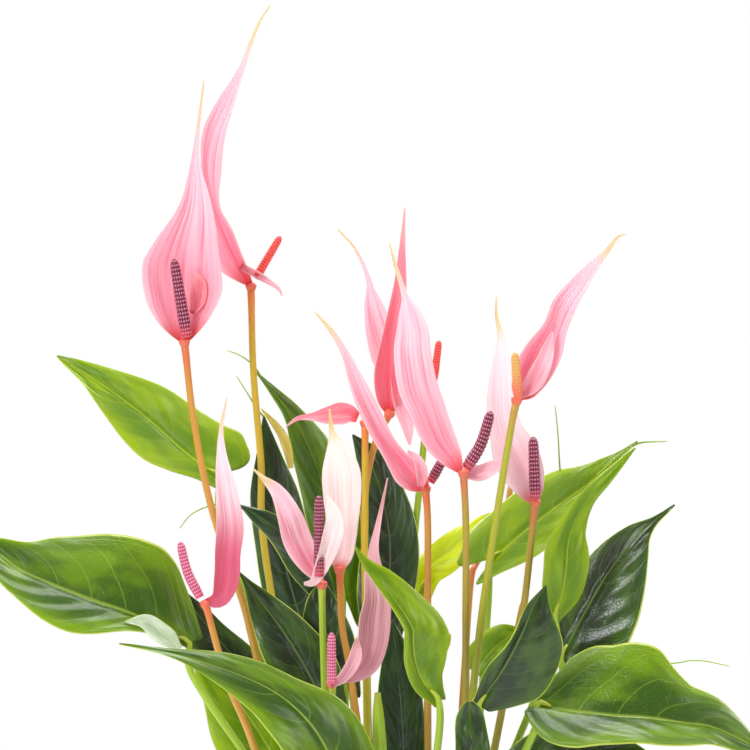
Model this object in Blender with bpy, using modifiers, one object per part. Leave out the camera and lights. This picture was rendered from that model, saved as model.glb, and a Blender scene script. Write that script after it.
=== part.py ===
"""Potted anthurium: pot, soil, leaves on their stalks, and flowers (stem, spathe, spadix). Metres, +Z up.

The pot stands on the floor with the centre of its base at the origin. Dimensions are written in millimetres.
"""

import math

import bmesh
import bpy
from mathutils import Vector

MM = 0.001

# Pot: a plain tapered pot with a turned rim band.
POT_HEIGHT = 105.0
POT_BASE_RADIUS = 41.0
POT_TOP_RADIUS = 56.0
POT_RIM_RADIUS = 60.0
POT_RIM_DEPTH = 17.0
POT_WALL = 3.6
POT_FLOOR = 4.0
POT_STEPS = 64
SOIL_TOP = 93.0
FIT_GAP = 0.3

# Plant: how thick the soft parts are.
LEAF_THICKNESS = 0.8
SPATHE_THICKNESS = 0.7
PETIOLE_RADIUS = 1.5
STEM_RADIUS = 1.6
LEAF_ROWS, LEAF_COLUMNS = 12, 6
SPATHE_ROWS, SPATHE_COLUMNS = 12, 6
NARROWEST = 0.5
STEM_GAP = 2.0

# A leaf: midrib points from the stalk's joint to the tip; its left and right half, seen with the tip up, as
# stations (place along the midrib 0..1, reach across, reach toward the front); where its stalk leaves the soil.
LEAVES = {
    "leaf_01": dict(
        midrib=[
            (-73, 10, 278), (-80, 9, 283), (-89, 8, 290), (-103, 5, 303), (-120, 0, 316), (-137, -6, 327),
        ],
        left=[
            (0, 3, 3), (0.1, 4, 6), (0.25, 8.5, 12), (0.36, 11, 15), (0.48, 10.5, 14), (0.6, 8.5, 11),
            (0.75, 6, 7), (0.88, 3, 3), (1, 0.3, 0),
        ],
        right=[
            (0, 16, -8), (0.06, 20, -10), (0.15, 19, -10), (0.25, 17.8, -10), (0.48, 13.5, -8),
            (0.75, 7, -4), (0.88, 3.5, -2), (1, 0.3, 0),
        ],
        foot=(-41, 7), lobe=0.1,
    ),
    "leaf_02": dict(
        midrib=[
            (-84, -28, 214), (-95, -31, 220), (-107, -33, 226), (-124, -33, 232), (-148, -31, 242),
            (-160, -28, 250), (-172, -25, 257),
        ],
        left=[
            (0, 2, 0), (0.13, 3, 3), (0.27, 6, 8), (0.45, 12, 12), (0.58, 12, 12), (0.71, 9.5, 9),
            (0.86, 6, 5), (1, 0.4, 0),
        ],
        right=[
            (0, 6, -2), (0.06, 13, -3), (0.13, 20, -5), (0.2, 26, -7), (0.27, 29, -8), (0.45, 27.5, -8),
            (0.58, 22, -6), (0.71, 15.5, -4), (0.86, 6, -2), (1, 0.4, 0),
        ],
        foot=(-40, -23), lobe=0.05,
    ),
    "leaf_03": dict(
        midrib=[(-56, 2, 196), (-68, 3, 208), (-80, 4, 222), (-90, 4, 235)],
        left=[(0, 9, 5), (0.3, 13, 8), (0.6, 9, 5), (0.85, 3, 2), (1, 0.3, 0)],
        right=[(0, 5, -2), (0.3, 7, -4), (0.6, 5, -3), (0.85, 2, -1), (1, 0.3, 0)],
        foot=(-30, 3),
    ),
    "leaf_04": dict(
        midrib=[
            (-34, -14, 138), (-42, -15, 154), (-51, -15, 169), (-63, -14, 187), (-74, -13, 199),
            (-84, -12, 208),
        ],
        left=[(0, 12, 3), (0.2, 19, 4), (0.45, 19, 4), (0.65, 16, 4), (0.85, 7, 2), (1, 0.3, 0)],
        right=[(0, 8, -2), (0.2, 11, -4), (0.65, 9, -3), (0.85, 5, -1), (1, 0.3, 0)],
        foot=(-25, -13),
    ),
    "leaf_05": dict(
        midrib=[
            (-22, -70, 158), (-28, -73, 174), (-36, -75, 187), (-48, -76, 198), (-62, -77, 205),
            (-76, -77, 210), (-92, -75, 214), (-110, -72, 217),
        ],
        left=[
            (0, 12, 6), (0.15, 17, 9), (0.28, 15, 9), (0.43, 12.5, 8), (0.57, 7.5, 5), (0.7, 3.5, 3),
            (0.84, 1.2, 1), (1, 0.3, 0),
        ],
        right=[
            (0, 12, -4), (0.15, 17, -6), (0.28, 16, -6), (0.43, 8.5, -5), (0.57, 7, -4), (0.7, 5, -3),
            (0.84, 1.7, -1), (1, 0.3, 0),
        ],
        foot=(-12, -42),
    ),
    "leaf_06": dict(
        midrib=[
            (-38, 31, 212), (-44, 33, 232), (-49, 34, 252), (-52, 35, 272), (-54, 35, 288), (-55, 35, 301),
        ],
        left=[(0, 8, -2), (0.2, 12, -4), (0.45, 11, -4), (0.65, 9.5, -3), (0.82, 4.5, -2), (1, 0.3, 0)],
        right=[(0, 8, -2), (0.2, 14, -4), (0.45, 13, -4), (0.65, 11, -3), (0.82, 6, -2), (1, 0.3, 0)],
        foot=(-22, 26),
    ),
    "leaf_07": dict(
        midrib=[
            (-23, 47, 228), (-25, 48, 247), (-30, 49, 268), (-36, 49, 286), (-43, 48, 300), (-51, 47, 310),
            (-58, 46, 318),
        ],
        left=[
            (0, 8, -3), (0.19, 12, -4), (0.41, 11, -4), (0.6, 8.5, -4), (0.76, 4, -2), (0.89, 2, -1),
            (1, 0.3, 0),
        ],
        right=[
            (0, 8, -3), (0.19, 13, -4), (0.41, 12.5, -4), (0.6, 9.5, -4), (0.76, 4.5, -2), (0.89, 2, -1),
            (1, 0.3, 0),
        ],
        foot=(-13, 37),
    ),
    "leaf_08": dict(
        midrib=[(-31, -18, 234), (-37, -20, 245), (-48, -21, 258), (-58, -20, 265), (-64, -19, 268)],
        left=[(0, 4, 2), (0.25, 6.5, 4), (0.5, 6.5, 4), (0.75, 4, 2), (0.9, 2, 1), (1, 0.3, 0)],
        right=[(0, 4, -2), (0.25, 6, -4), (0.5, 5, -4), (0.75, 3.5, -2), (0.9, 1.5, -1), (1, 0.3, 0)],
        foot=(-19, -6),
    ),
    "leaf_09": dict(
        midrib=[(-30, -28, 188), (-37, -30, 203), (-46, -31, 218), (-55, -30, 230), (-64, -29, 242)],
        left=[(0, 8, 3), (0.25, 13, 5), (0.5, 12, 4), (0.75, 6, 2), (0.9, 2, 1), (1, 0.3, 0)],
        right=[(0, 8, 1), (0.25, 12, 2), (0.5, 10, 2), (0.75, 5.5, 0), (0.9, 2, 0), (1, 0.3, 0)],
        foot=(-19, -17),
    ),
    "leaf_10": dict(
        midrib=[(-22, -22, 196), (-26, -23, 206), (-29, -23, 217), (-31, -23, 228), (-31, -22, 238)],
        left=[(0, 5, 0), (0.2, 9, 2), (0.5, 10, 2), (0.8, 6.5, 1), (0.94, 3, 0), (1, 0.5, 0)],
        right=[(0, 5, 0), (0.2, 9, -2), (0.5, 10, -2), (0.8, 6.5, -1), (0.94, 3, 0), (1, 0.5, 0)],
        foot=(-11, -14),
    ),
    "leaf_11": dict(
        midrib=[(-6, 39, 218), (-4, 40, 236), (-4, 41, 252), (-7, 42, 268), (-12, 42, 282), (-19, 42, 293)],
        left=[(0, 8, -2), (0.2, 13, -4), (0.5, 12, -4), (0.7, 9, -3), (0.88, 4.5, -1), (1, 0.3, 0)],
        right=[(0, 8, -2), (0.2, 11, -4), (0.5, 11.5, -4), (0.7, 9, -3), (0.88, 5, -1), (1, 0.3, 0)],
        foot=(-3, 36),
    ),
    "leaf_12": dict(
        midrib=[
            (14.5, -67, 195), (9, -70, 202), (6, -72, 210), (5, -74, 218), (4.5, -75, 224), (-2, -74, 234),
            (-8, -72, 241), (-14, -70, 248), (-18, -68, 255),
        ],
        left=[
            (0, 3, 0), (0.13, 4.5, 2), (0.25, 4, 3), (0.37, 3, 3), (0.46, 3.2, 3), (0.62, 2.8, 2),
            (0.76, 1.8, 1), (0.89, 1, 0), (1, 0.25, 0),
        ],
        right=[
            (0, 3, -1), (0.13, 9, -3), (0.25, 13, -5), (0.37, 15.5, -6), (0.46, 12.5, -6), (0.62, 8.8, -4),
            (0.76, 6, -3), (0.89, 2.6, -1), (1, 0.25, 0),
        ],
        foot=(9, -40), lobe=0.04,
    ),
    "leaf_13": dict(
        midrib=[(9, 60, 228), (12, 60, 238), (20, 60, 244), (28, 60, 251), (37, 59, 260)],
        left=[(0, 4, -3), (0.3, 6, -5), (0.65, 6, -4), (0.85, 3, -2), (1, 0.3, 0)],
        right=[(0, 4, 3), (0.3, 6.5, 5), (0.65, 6, 4), (0.85, 3, 2), (1, 0.3, 0)],
        foot=(7, 38),
    ),
    "leaf_14": dict(
        midrib=[
            (37, 30, 243), (51, 32, 255), (60, 32, 262), (68, 32, 268), (76, 31, 274), (87, 30, 284),
            (96, 28, 291),
        ],
        left=[
            (0, 10, -4), (0.1, 14.5, -7), (0.25, 14.5, -8), (0.39, 14, -8), (0.53, 12.7, -7),
            (0.66, 8.5, -5), (0.85, 1.8, -1), (1, 0.3, 0),
        ],
        right=[(0, 5, 4), (0.25, 8.5, 10), (0.53, 8, 10), (0.66, 6, 7), (0.85, 2, 2), (1, 0.3, 0)],
        foot=(30, 18),
    ),
    "leaf_15": dict(
        midrib=[
            (62, -11, 224), (65, -12, 233), (66.5, -13, 243), (67, -13, 251), (69, -12, 259),
            (74, -10, 269), (82, -8, 278), (94, -5, 290),
        ],
        left=[
            (0, 3, 1), (0.12, 8, 3), (0.25, 9.3, 4), (0.36, 8.6, 4), (0.47, 5, 2), (0.62, 3.5, 1),
            (0.77, 2.5, 1), (1, 0.3, 0),
        ],
        right=[
            (0, 3, -1), (0.12, 8, -3), (0.25, 9.3, -4), (0.36, 8.4, -4), (0.47, 5.5, -3), (0.62, 4, -2),
            (0.77, 3, -1), (1, 0.3, 0),
        ],
        foot=(34, -2), lobe=0.03,
    ),
    "leaf_16": dict(
        midrib=[(65, 6, 206), (76, 6, 227), (83, 6, 239), (93, 5, 252), (100, 3, 259), (110, 0, 267)],
        left=[
            (0, 9, -6), (0.15, 12, -10), (0.3, 11.5, -11), (0.49, 10.7, -10), (0.71, 5.5, -5),
            (0.84, 2, -2), (1, 0.3, 0),
        ],
        right=[
            (0, 12, 6), (0.15, 19, 9), (0.3, 20, 10), (0.49, 16.5, 8), (0.71, 7.7, 5), (0.84, 2.5, 2),
            (1, 0.3, 0),
        ],
        foot=(37, 8), lobe=0.08,
    ),
    "leaf_17": dict(
        midrib=[
            (31, -58, 192), (37, -61, 201), (42, -63, 209), (47.6, -64, 220), (52, -63, 230),
            (57, -61, 239),
        ],
        left=[(0, 3, 2), (0.2, 4.5, 3), (0.37, 4.5, 4), (0.6, 3.5, 3), (0.8, 2.5, 2), (1, 0.3, 0)],
        right=[
            (0, 6, -2), (0.13, 13, -4), (0.26, 19, -6), (0.45, 20.3, -6), (0.64, 17.8, -6), (0.83, 9, -3),
            (0.92, 4, -1), (1, 0.3, 0),
        ],
        foot=(18, -34), lobe=0.02,
    ),
    "leaf_18": dict(
        midrib=[
            (55, -42, 191), (64, -45, 189), (83, -48, 187), (98, -48, 186), (112, -47, 184),
            (124, -45, 182), (140, -42, 174), (158, -38, 163),
        ],
        left=[
            (0, 6, -2), (0.08, 18.5, -6), (0.17, 26, -8), (0.26, 27.6, -8), (0.35, 29, -8), (0.42, 27, -8),
            (0.47, 21, -7), (0.53, 16, -6), (0.64, 11.5, -5), (0.73, 7, -3), (0.81, 2.8, -1), (1, 0.3, 0),
        ],
        right=[
            (0, 6, 4), (0.08, 12, 10), (0.17, 12, 14), (0.26, 8.4, 15), (0.35, 6.5, 15), (0.46, 7.2, 14),
            (0.53, 7.2, 12), (0.64, 6, 9), (0.73, 4.5, 6), (0.81, 2.6, 3), (1, 0.3, 0),
        ],
        foot=(30, -24), lobe=0.04,
    ),
    "leaf_19": dict(
        midrib=[(27, -78, 150), (28, -80, 172), (27, -79, 195)],
        left=[(0, 4, -1), (0.3, 7.5, -3), (0.6, 7.2, -3), (0.85, 5.8, -2), (0.96, 3.4, 0), (1, 1.2, 0)],
        right=[(0, 4, -1), (0.3, 7.5, -3), (0.6, 7.2, -3), (0.85, 5.8, -2), (0.96, 3.4, 0), (1, 1.2, 0)],
        foot=(2, -47),
    ),
    "leaf_20": dict(
        midrib=[(44, -24, 158), (60, -25, 166), (78, -25, 168), (96, -24, 164), (112, -22, 156)],
        left=[(0, 8, -3), (0.3, 14, -4), (0.6, 10, -4), (0.85, 4, -2), (1, 0.3, 0)],
        right=[(0, 6, 4), (0.3, 9, 8), (0.6, 7, 6), (0.85, 3, 2), (1, 0.3, 0)],
        foot=(36, -13),
    ),
    "leaf_21": dict(
        midrib=[(2, -16, 150), (1, -18, 180), (-1, -18, 205), (-3, -17, 222)],
        left=[(0, 6, -1), (0.3, 10, -3), (0.6, 9, -3), (0.85, 5, -1), (1, 0.3, 0)],
        right=[(0, 6, -1), (0.3, 9, -3), (0.6, 9, -3), (0.85, 4.5, -1), (1, 0.3, 0)],
        foot=(2, -7),
    ),
}

# A flower: stem points from the soil up; spathe midrib and halves as for a leaf; spadix base to tip.
FLOWERS = {
    "flower_01": dict(
        stem=[
            (-33, -8, 94), (-58, -6, 209), (-65, -6, 235), (-75, -8, 265), (-82, -9, 299), (-86, -10, 333),
        ],
        midrib=[
            (-86, -9, 332), (-87, -3, 353), (-86, -2, 368), (-82, -5, 388), (-81, -10, 412),
            (-78, -14, 437),
        ],
        left=[
            (0, 1, 0), (0.03, 6, 1.5), (0.08, 11, 3), (0.15, 15, 5), (0.29, 17, 6), (0.38, 13, 5),
            (0.5, 7.5, 3), (0.66, 3, 1), (0.78, 0.9, 0.3), (1, 0.25, 0),
        ],
        right=[
            (0, 1, 0), (0.03, 6, 1.5), (0.08, 11.5, 3), (0.17, 17, 5), (0.3, 16.5, 6), (0.42, 13, 5),
            (0.55, 7, 3), (0.68, 2, 1), (0.78, 0.9, 0.3), (1, 0.25, 0),
        ],
        spadix=[(-85, -12, 335), (-90, -16, 366)],
        fat=2.6,
    ),
    "flower_02": dict(
        stem=[(-26, 10, 94), (-53, 22, 237), (-56, 24, 283), (-59, 24, 319), (-60, 25, 354)],
        midrib=[
            (-60, 25, 354), (-66, 25, 364), (-71, 26, 375), (-75, 26, 387), (-77.5, 26, 401),
            (-75, 25, 415), (-70, 25, 427), (-64, 24, 441), (-57, 23, 459), (-52, 21, 467),
        ],
        left=[
            (0, 1, 0), (0.05, 5, 2), (0.1, 8, 2), (0.19, 9, 3), (0.3, 6, 3), (0.41, 3, 2), (0.52, 5, 2),
            (0.63, 4.5, 2), (0.76, 1.4, 0.5), (0.85, 0.8, 0), (1, 0.25, 0),
        ],
        right=[
            (0, 1, 0), (0.05, 3, 2), (0.1, 4, 3), (0.19, 4.5, 4), (0.29, 2.5, 3), (0.41, 6, 4),
            (0.52, 5.6, 4), (0.63, 4, 3), (0.76, 1.4, 0.5), (0.85, 0.8, 0), (1, 0.25, 0),
        ],
        spadix=[(-58, 23, 357), (-48, 21, 374)],
        fat=1.9,
    ),
    "flower_03": dict(
        stem=[(-11, 30, 94), (-14, 33, 233), (-14, 34, 268), (-10, 28, 290), (-4, 17, 303)],
        midrib=[(-4, 18, 302), (-5, 18, 318), (-3, 17, 335), (0, 16, 353), (1, 15, 370), (2, 15, 386)],
        left=[
            (0, 1, 0), (0.05, 4, 1), (0.12, 5.5, 2), (0.22, 5.8, 2), (0.4, 4.4, 2), (0.6, 3, 1),
            (0.8, 1.3, 0), (1, 0.2, 0),
        ],
        right=[
            (0, 1, 0), (0.05, 4, 1), (0.12, 5.5, 2), (0.22, 6, 2), (0.4, 5, 2), (0.6, 3, 1), (0.8, 1.3, 0),
            (1, 0.2, 0),
        ],
        spadix=[(-4, 21, 302), (-4, 25, 316)],
        fat=1.9,
    ),
    "flower_04": dict(
        stem=[(-12, 22, 94), (-14, 25, 233), (-14, 26, 261), (-14, 26, 299)],
        midrib=[
            (-17, 25, 300.5), (-21, 25, 302), (-27, 24, 301.5), (-34, 24, 301), (-41, 23, 300.5),
            (-46, 22, 297),
        ],
        left=[(0, 2, 1), (0.2, 4.3, 3), (0.4, 3.3, 2), (0.6, 1.6, 1), (0.8, 0.8, 0), (1, 0.2, 0)],
        right=[(0, 2, -1), (0.2, 4.3, -3), (0.4, 3.3, -2), (0.6, 1.6, -1), (0.8, 0.8, 0), (1, 0.2, 0)],
        spadix=[(-14, 27, 299), (-12, 31, 306)],
        fat=1.4,
    ),
    "flower_05": dict(
        stem=[(11, -14, 94), (11, -19, 226), (11, -20, 261), (10, -20, 275)],
        midrib=[
            (10, -20, 274), (3, -21, 282), (-5, -22, 293), (-10, -22, 302), (-14.5, -22, 311),
            (-18, -21, 319), (-21.6, -21, 328), (-27, -20, 337), (-34, -18, 345),
        ],
        left=[
            (0, 1, 0), (0.05, 5, 2), (0.12, 7, 3), (0.2, 5.8, 3), (0.28, 4.8, 3), (0.41, 4.8, 3),
            (0.53, 4.4, 3), (0.63, 3.3, 2), (0.75, 1.8, 1), (0.88, 0.9, 0), (1, 0.25, 0),
        ],
        right=[
            (0, 2, 0), (0.05, 5, 3), (0.12, 6.5, 4), (0.2, 5.4, 5), (0.28, 4.8, 5), (0.41, 4.8, 4),
            (0.53, 4.4, 4), (0.63, 3.3, 3), (0.75, 1.8, 1), (0.88, 0.9, 0), (1, 0.25, 0),
        ],
        spadix=[(12, -17, 277), (22, -15, 295)],
        fat=2.2,
    ),
    "flower_06": dict(
        stem=[(25, -17, 94), (26, -28, 191), (26, -32, 227), (26, -33, 261), (25, -33, 282)],
        midrib=[
            (24, -33, 282), (15, -34, 294), (10, -34, 307), (7, -34, 316), (5, -34, 329), (4.8, -33, 338),
            (2.3, -33, 350), (-2, -31, 364), (-4.4, -30, 373),
        ],
        left=[
            (0, 1, 0), (0.06, 3.2, -1), (0.15, 5, -3), (0.29, 6.2, -4), (0.39, 7.2, -4), (0.53, 6.5, -4),
            (0.62, 5.6, -3), (0.7, 3.6, -2), (0.77, 1.4, 0), (0.9, 0.7, 0), (1, 0.25, 0),
        ],
        right=[
            (0, 1, 0), (0.06, 4.5, -1), (0.15, 6.5, -3), (0.29, 7, -4), (0.39, 7.2, -4), (0.53, 6.5, -4),
            (0.62, 5.6, -3), (0.7, 3.6, -2), (0.77, 1.4, 0), (0.9, 0.7, 0), (1, 0.25, 0),
        ],
        spadix=[(26, -30, 283), (32, -29, 293), (36, -28, 306)],
        fat=2.6,
    ),
    "flower_07": dict(
        stem=[(19, -23, 94), (29, -34, 197), (35, -37, 245), (43.5, -38, 298), (46, -38, 311)],
        midrib=[
            (46, -37, 311), (49.5, -37, 317), (53, -36, 323), (57, -35, 331), (61, -35, 340),
            (64.5, -34, 348), (69.5, -34, 355), (75, -33, 362), (81, -33, 368.5), (86, -32, 375),
            (89, -32, 376),
        ],
        left=[
            (0, 1, 0), (0.04, 4.5, 2), (0.08, 6.4, 4), (0.16, 8.7, 5), (0.29, 8.2, 5), (0.41, 5.6, 4),
            (0.52, 5.6, 3), (0.63, 4.2, 2), (0.74, 2.7, 1), (0.85, 1.2, 0), (0.95, 0.6, 0), (1, 0.2, 0),
        ],
        right=[
            (0, 1, 0), (0.04, 5, 2), (0.08, 6.8, 4), (0.16, 8, 5), (0.29, 8, 5), (0.41, 6, 4),
            (0.52, 5.6, 3), (0.63, 4.2, 2), (0.74, 2.7, 1), (0.85, 1.2, 0), (0.95, 0.6, 0), (1, 0.2, 0),
        ],
        spadix=[(46.5, -45, 311), (45, -48, 330)],
        fat=2.1,
    ),
    "flower_08": dict(
        stem=[(23, -6, 94), (47, -8, 217), (50, -8, 231), (54, -8, 269)],
        midrib=[
            (54, -7, 268), (50, -6, 279), (46, -5, 288), (42, -5, 299), (40.5, -5, 308), (40.4, -5, 320),
            (40.4, -5, 333), (38.5, -6, 343), (38.4, -6, 351),
        ],
        left=[
            (0, 1, 0), (0.04, 4.5, 1), (0.13, 8.5, 2), (0.24, 10, 3), (0.38, 7.4, 3), (0.49, 6.2, 2),
            (0.63, 4.6, 2), (0.7, 3.3, 1), (0.79, 1.5, 0), (0.9, 0.6, 0), (1, 0.2, 0),
        ],
        right=[
            (0, 1, 0), (0.04, 4.5, 1), (0.13, 8, 2), (0.24, 9.5, 3), (0.38, 7, 3), (0.49, 6, 2),
            (0.63, 4.5, 2), (0.7, 3.2, 1), (0.79, 1.5, 0), (0.9, 0.6, 0), (1, 0.2, 0),
        ],
        spadix=[(54, -11, 270), (53, -13, 295)],
        fat=2.6,
    ),
    "flower_09": dict(
        stem=[(-34, -31, 94), (-57, -40, 171), (-68, -43, 199), (-77, -45, 231)],
        midrib=[
            (-78, -45, 231), (-71.5, -46, 233), (-69, -46, 241), (-68.5, -46, 251), (-67.5, -46, 261),
            (-68.5, -45, 272), (-69.6, -45, 281), (-70.5, -44, 290), (-70.6, -44, 300), (-68.4, -43, 312),
        ],
        left=[
            (0, 0.8, 0), (0.04, 2.4, 1), (0.08, 3.8, 2), (0.16, 5, 2), (0.28, 5, 2), (0.4, 5.2, 2),
            (0.53, 4.4, 2), (0.64, 3.4, 1), (0.74, 2, 0), (0.86, 0.8, 0), (1, 0.2, 0),
        ],
        right=[
            (0, 0.8, 0), (0.04, 2.4, 1), (0.08, 3.8, -1), (0.16, 5, -2), (0.28, 5, -2), (0.4, 5.2, -2),
            (0.53, 4.4, -2), (0.64, 3.4, -1), (0.74, 2, 0), (0.86, 0.8, 0), (1, 0.2, 0),
        ],
        spadix=[(-79, -44, 233), (-84, -43, 243), (-87, -42, 255)],
        fat=2.2,
    ),
    "flower_10": dict(
        stem=[(-26, -26, 94), (-30, -44, 199), (-31, -49, 239)],
        midrib=[
            (-31, -49, 239), (-37, -48, 248), (-41, -47, 256), (-44, -47, 265), (-49, -46, 275),
            (-58, -46, 284),
        ],
        left=[
            (0, 1, 1), (0.15, 4, 3), (0.35, 5.5, 3), (0.55, 5, 3), (0.78, 2.5, 2), (0.9, 1, 0),
            (1, 0.25, 0),
        ],
        right=[
            (0, 1, -1), (0.15, 4, -3), (0.35, 5.5, -3), (0.55, 5, -3), (0.78, 2.5, -2), (0.9, 1, 0),
            (1, 0.25, 0),
        ],
        spadix=[(-32, -53, 242), (-32, -55, 274)],
        fat=2.3,
    ),
    "flower_11": dict(
        stem=[(-5, -22, 94), (-19, -35, 197), (-23, -36, 221), (-24, -36, 244)],
        midrib=[
            (-25, -35, 243), (-23, -34, 255), (-23, -34, 264), (-23, -34, 274), (-23.5, -34, 283),
            (-25, -33, 291), (-27, -33, 298), (-28, -32, 307),
        ],
        left=[
            (0, 1, 0), (0.08, 4, 1), (0.2, 5.6, 1), (0.34, 6.8, 1), (0.48, 7.6, 0), (0.62, 7.4, 0),
            (0.75, 4.4, 0), (0.85, 1.4, 0), (1, 0.25, 0),
        ],
        right=[
            (0, 2, 0), (0.08, 5, 1), (0.2, 5.6, 1), (0.34, 6.8, 1), (0.48, 7.6, 0), (0.62, 7.4, 0),
            (0.75, 4.4, 0), (0.85, 1.4, 0), (1, 0.25, 0),
        ],
        spadix=[(-23, -31, 246), (-23, -30, 266)],
        fat=1.6,
    ),
    "flower_12": dict(
        stem=[(-19, -35, 94), (-25, -56, 170), (-27, -61, 201)],
        midrib=[
            (-26, -62, 202), (-19, -62, 204), (-14, -61, 209), (-11.5, -61, 217), (-10.5, -60, 226),
            (-9.5, -60, 234), (-10.5, -59, 243), (-10.5, -58, 253), (-8.5, -57, 264), (-5, -56, 281),
        ],
        left=[
            (0, 0.8, 0), (0.04, 1.8, 1), (0.09, 3.5, 2), (0.17, 5.8, 3), (0.27, 6.4, 3), (0.36, 6.4, 3),
            (0.45, 5.2, 2), (0.56, 3.8, 1), (0.67, 2, 0), (0.8, 1, 0), (1, 0.2, 0),
        ],
        right=[
            (0, 0.8, 0), (0.04, 1.8, 1), (0.09, 3.5, -1), (0.17, 5.8, -2), (0.27, 6.4, -2), (0.36, 6.4, -2),
            (0.45, 5.2, -2), (0.56, 3.8, -1), (0.67, 2, 0), (0.8, 1, 0), (1, 0.2, 0),
        ],
        spadix=[(-27, -66, 201), (-27, -68, 221)],
        fat=2,
    ),
    "flower_13": dict(
        stem=[(-4, 27, 94), (5, 48, 235), (8, 50, 270), (12, 51, 309)],
        midrib=[
            (12, 52, 308), (3, 53, 312), (-4, 53, 322), (-8, 53, 334), (-11, 52, 347), (-13, 52, 357),
            (-18, 51, 368), (-25, 50, 376),
        ],
        left=[
            (0, 1, 0), (0.14, 5, -2), (0.28, 6, -2), (0.42, 5.5, -2), (0.57, 3.6, -1), (0.68, 1.2, 0),
            (1, 0.25, 0),
        ],
        right=[
            (0, 1, 0), (0.14, 5, -2), (0.28, 6, -2), (0.42, 5.5, -2), (0.57, 3.6, -1), (0.68, 1.2, 0),
            (1, 0.25, 0),
        ],
        spadix=[(14, 48, 315), (16, 47, 331)],
        fat=1.8,
    ),
    "bud": dict(
        stem=[(20, 31, 94), (28, 43, 222), (31, 46, 240)],
        spadix=[(31, 46, 240), (39, 47, 254), (44, 47, 262), (45, 47, 275)],
        fat=2.8,
    ),
}
ONE_PIECE_STEMS = ("flower_03", "flower_04", "flower_11", "bud")

LEAF_GREENS = [(0.10, 0.24, 0.02), (0.22, 0.36, 0.03), (0.04, 0.12, 0.02)]
SPATHE_PINK = (0.90, 0.36, 0.45)
SPADIX_PURPLE = (0.22, 0.03, 0.09)
STEM_OCHRE = (0.42, 0.22, 0.05)
POT_WHITE = (0.74, 0.71, 0.66)
SOIL_BROWN = (0.05, 0.03, 0.02)


def clear_scene():
    for item in list(bpy.data.objects):
        bpy.data.objects.remove(item, do_unlink=True)


def new_collection(name):
    made = bpy.data.collections.new(name)
    bpy.context.scene.collection.children.link(made)
    return made


def paint(item, colour, roughness):
    material = bpy.data.materials.new(item.name)
    material.use_nodes = True
    shader = material.node_tree.nodes["Principled BSDF"]
    shader.inputs["Base Color"].default_value = (*colour, 1.0)
    shader.inputs["Roughness"].default_value = roughness
    item.data.materials.clear()
    item.data.materials.append(material)


def vectors(points):
    return [Vector(point) * MM for point in points]


def even_path(points, count):
    """Points at equal distances along a smooth curve through the given points."""
    ends = [points[0] * 2 - points[1], *points, points[-1] * 2 - points[-2]]
    fine = []
    for i in range(len(points) - 1):
        a, b, c, d = ends[i : i + 4]
        for k in range(12):
            t = k / 12
            bend = (2 * a - 5 * b + 4 * c - d) * t * t + (3 * b - a - 3 * c + d) * t ** 3
            fine.append(0.5 * (2 * b + (c - a) * t + bend))
    fine.append(points[-1])
    lengths = [0.0]
    for before, after in zip(fine, fine[1:]):
        lengths.append(lengths[-1] + (after - before).length)
    path, j = [], 0
    for i in range(count + 1):
        wanted = lengths[-1] * i / count
        while j < len(fine) - 2 and lengths[j + 1] < wanted:
            j += 1
        share = (wanted - lengths[j]) / (lengths[j + 1] - lengths[j])
        path.append(fine[j].lerp(fine[j + 1], share))
    return path, lengths[-1]


def smooth_value(stations, which, u):
    """The value at u on a smooth line through the stations."""
    i = 0
    while i < len(stations) - 2 and stations[i + 1][0] < u:
        i += 1
    start, end = stations[i], stations[i + 1]
    before, after = stations[max(i - 1, 0)], stations[min(i + 2, len(stations) - 1)]
    span = end[0] - start[0]
    t = (u - start[0]) / span
    rise = (end[which] - before[which]) / (end[0] - before[0]) * span
    fall = (after[which] - start[which]) / (after[0] - start[0]) * span
    step = t * t * (3 - 2 * t)
    bend = rise * (t ** 3 - 2 * t * t + t) + fall * (t ** 3 - t * t)
    return start[which] + (end[which] - start[which]) * step + bend


def blade(name, home, shape, size, thickness, lobe, curl):
    """A leaf or spathe: a curved sheet along its midrib, thickened."""
    rows, columns = size
    path, length = even_path(vectors(shape["midrib"]), rows)
    mesh = bpy.data.meshes.new(name)
    work = bmesh.new()
    bmesh.ops.create_grid(work, x_segments=columns, y_segments=rows, size=1.0)
    for vertex in work.verts:
        v, u = vertex.co.x, (vertex.co.y + 1) / 2
        row = round(u * rows)
        along = (path[min(row + 1, rows)] - path[max(row - 1, 0)]).normalized()
        across = along.cross(Vector((0, 1, 0))).normalized()
        front = along.cross(across)
        stations, way = (shape["left"], 1) if v < 0 else (shape["right"], -1)
        reach, fore = smooth_value(stations, 1, u), smooth_value(stations, 2, u)
        side = (across * max(reach, NARROWEST) * way + front * fore) * MM
        inward = along.cross(side).normalized() * way
        back = lobe * length * (1 - u) ** 3 * abs(v) ** 1.4
        place = path[row] + side * abs(v) - along * back
        vertex.co = place + inward * curl * side.length * v * v
    for face in work.faces:
        face.smooth = True
    work.to_mesh(mesh)
    work.free()
    item = bpy.data.objects.new(name, mesh)
    home.objects.link(item)
    shell = item.modifiers.new("thickness", "SOLIDIFY")
    shell.thickness = thickness * MM
    shell.offset = 0.0
    return item


def rod(name, home, points, radii, sides):
    """A round tapering rod through the points, as a curve."""
    curve = bpy.data.curves.new(name, "CURVE")
    curve.dimensions = "3D"
    curve.bevel_depth = MM
    curve.bevel_resolution = sides
    curve.use_fill_caps = True
    spline = curve.splines.new("POLY")
    spline.points.add(len(points) - 1)
    for node, point, radius in zip(spline.points, points, radii):
        node.co = (*point, 1.0)
        node.radius = radius
    item = bpy.data.objects.new(name, curve)
    home.objects.link(item)
    return item


def tapered(points, start, end, count):
    path, _ = even_path(vectors(points), count)
    return path, [start + (end - start) * i / count for i in range(count + 1)]


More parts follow.
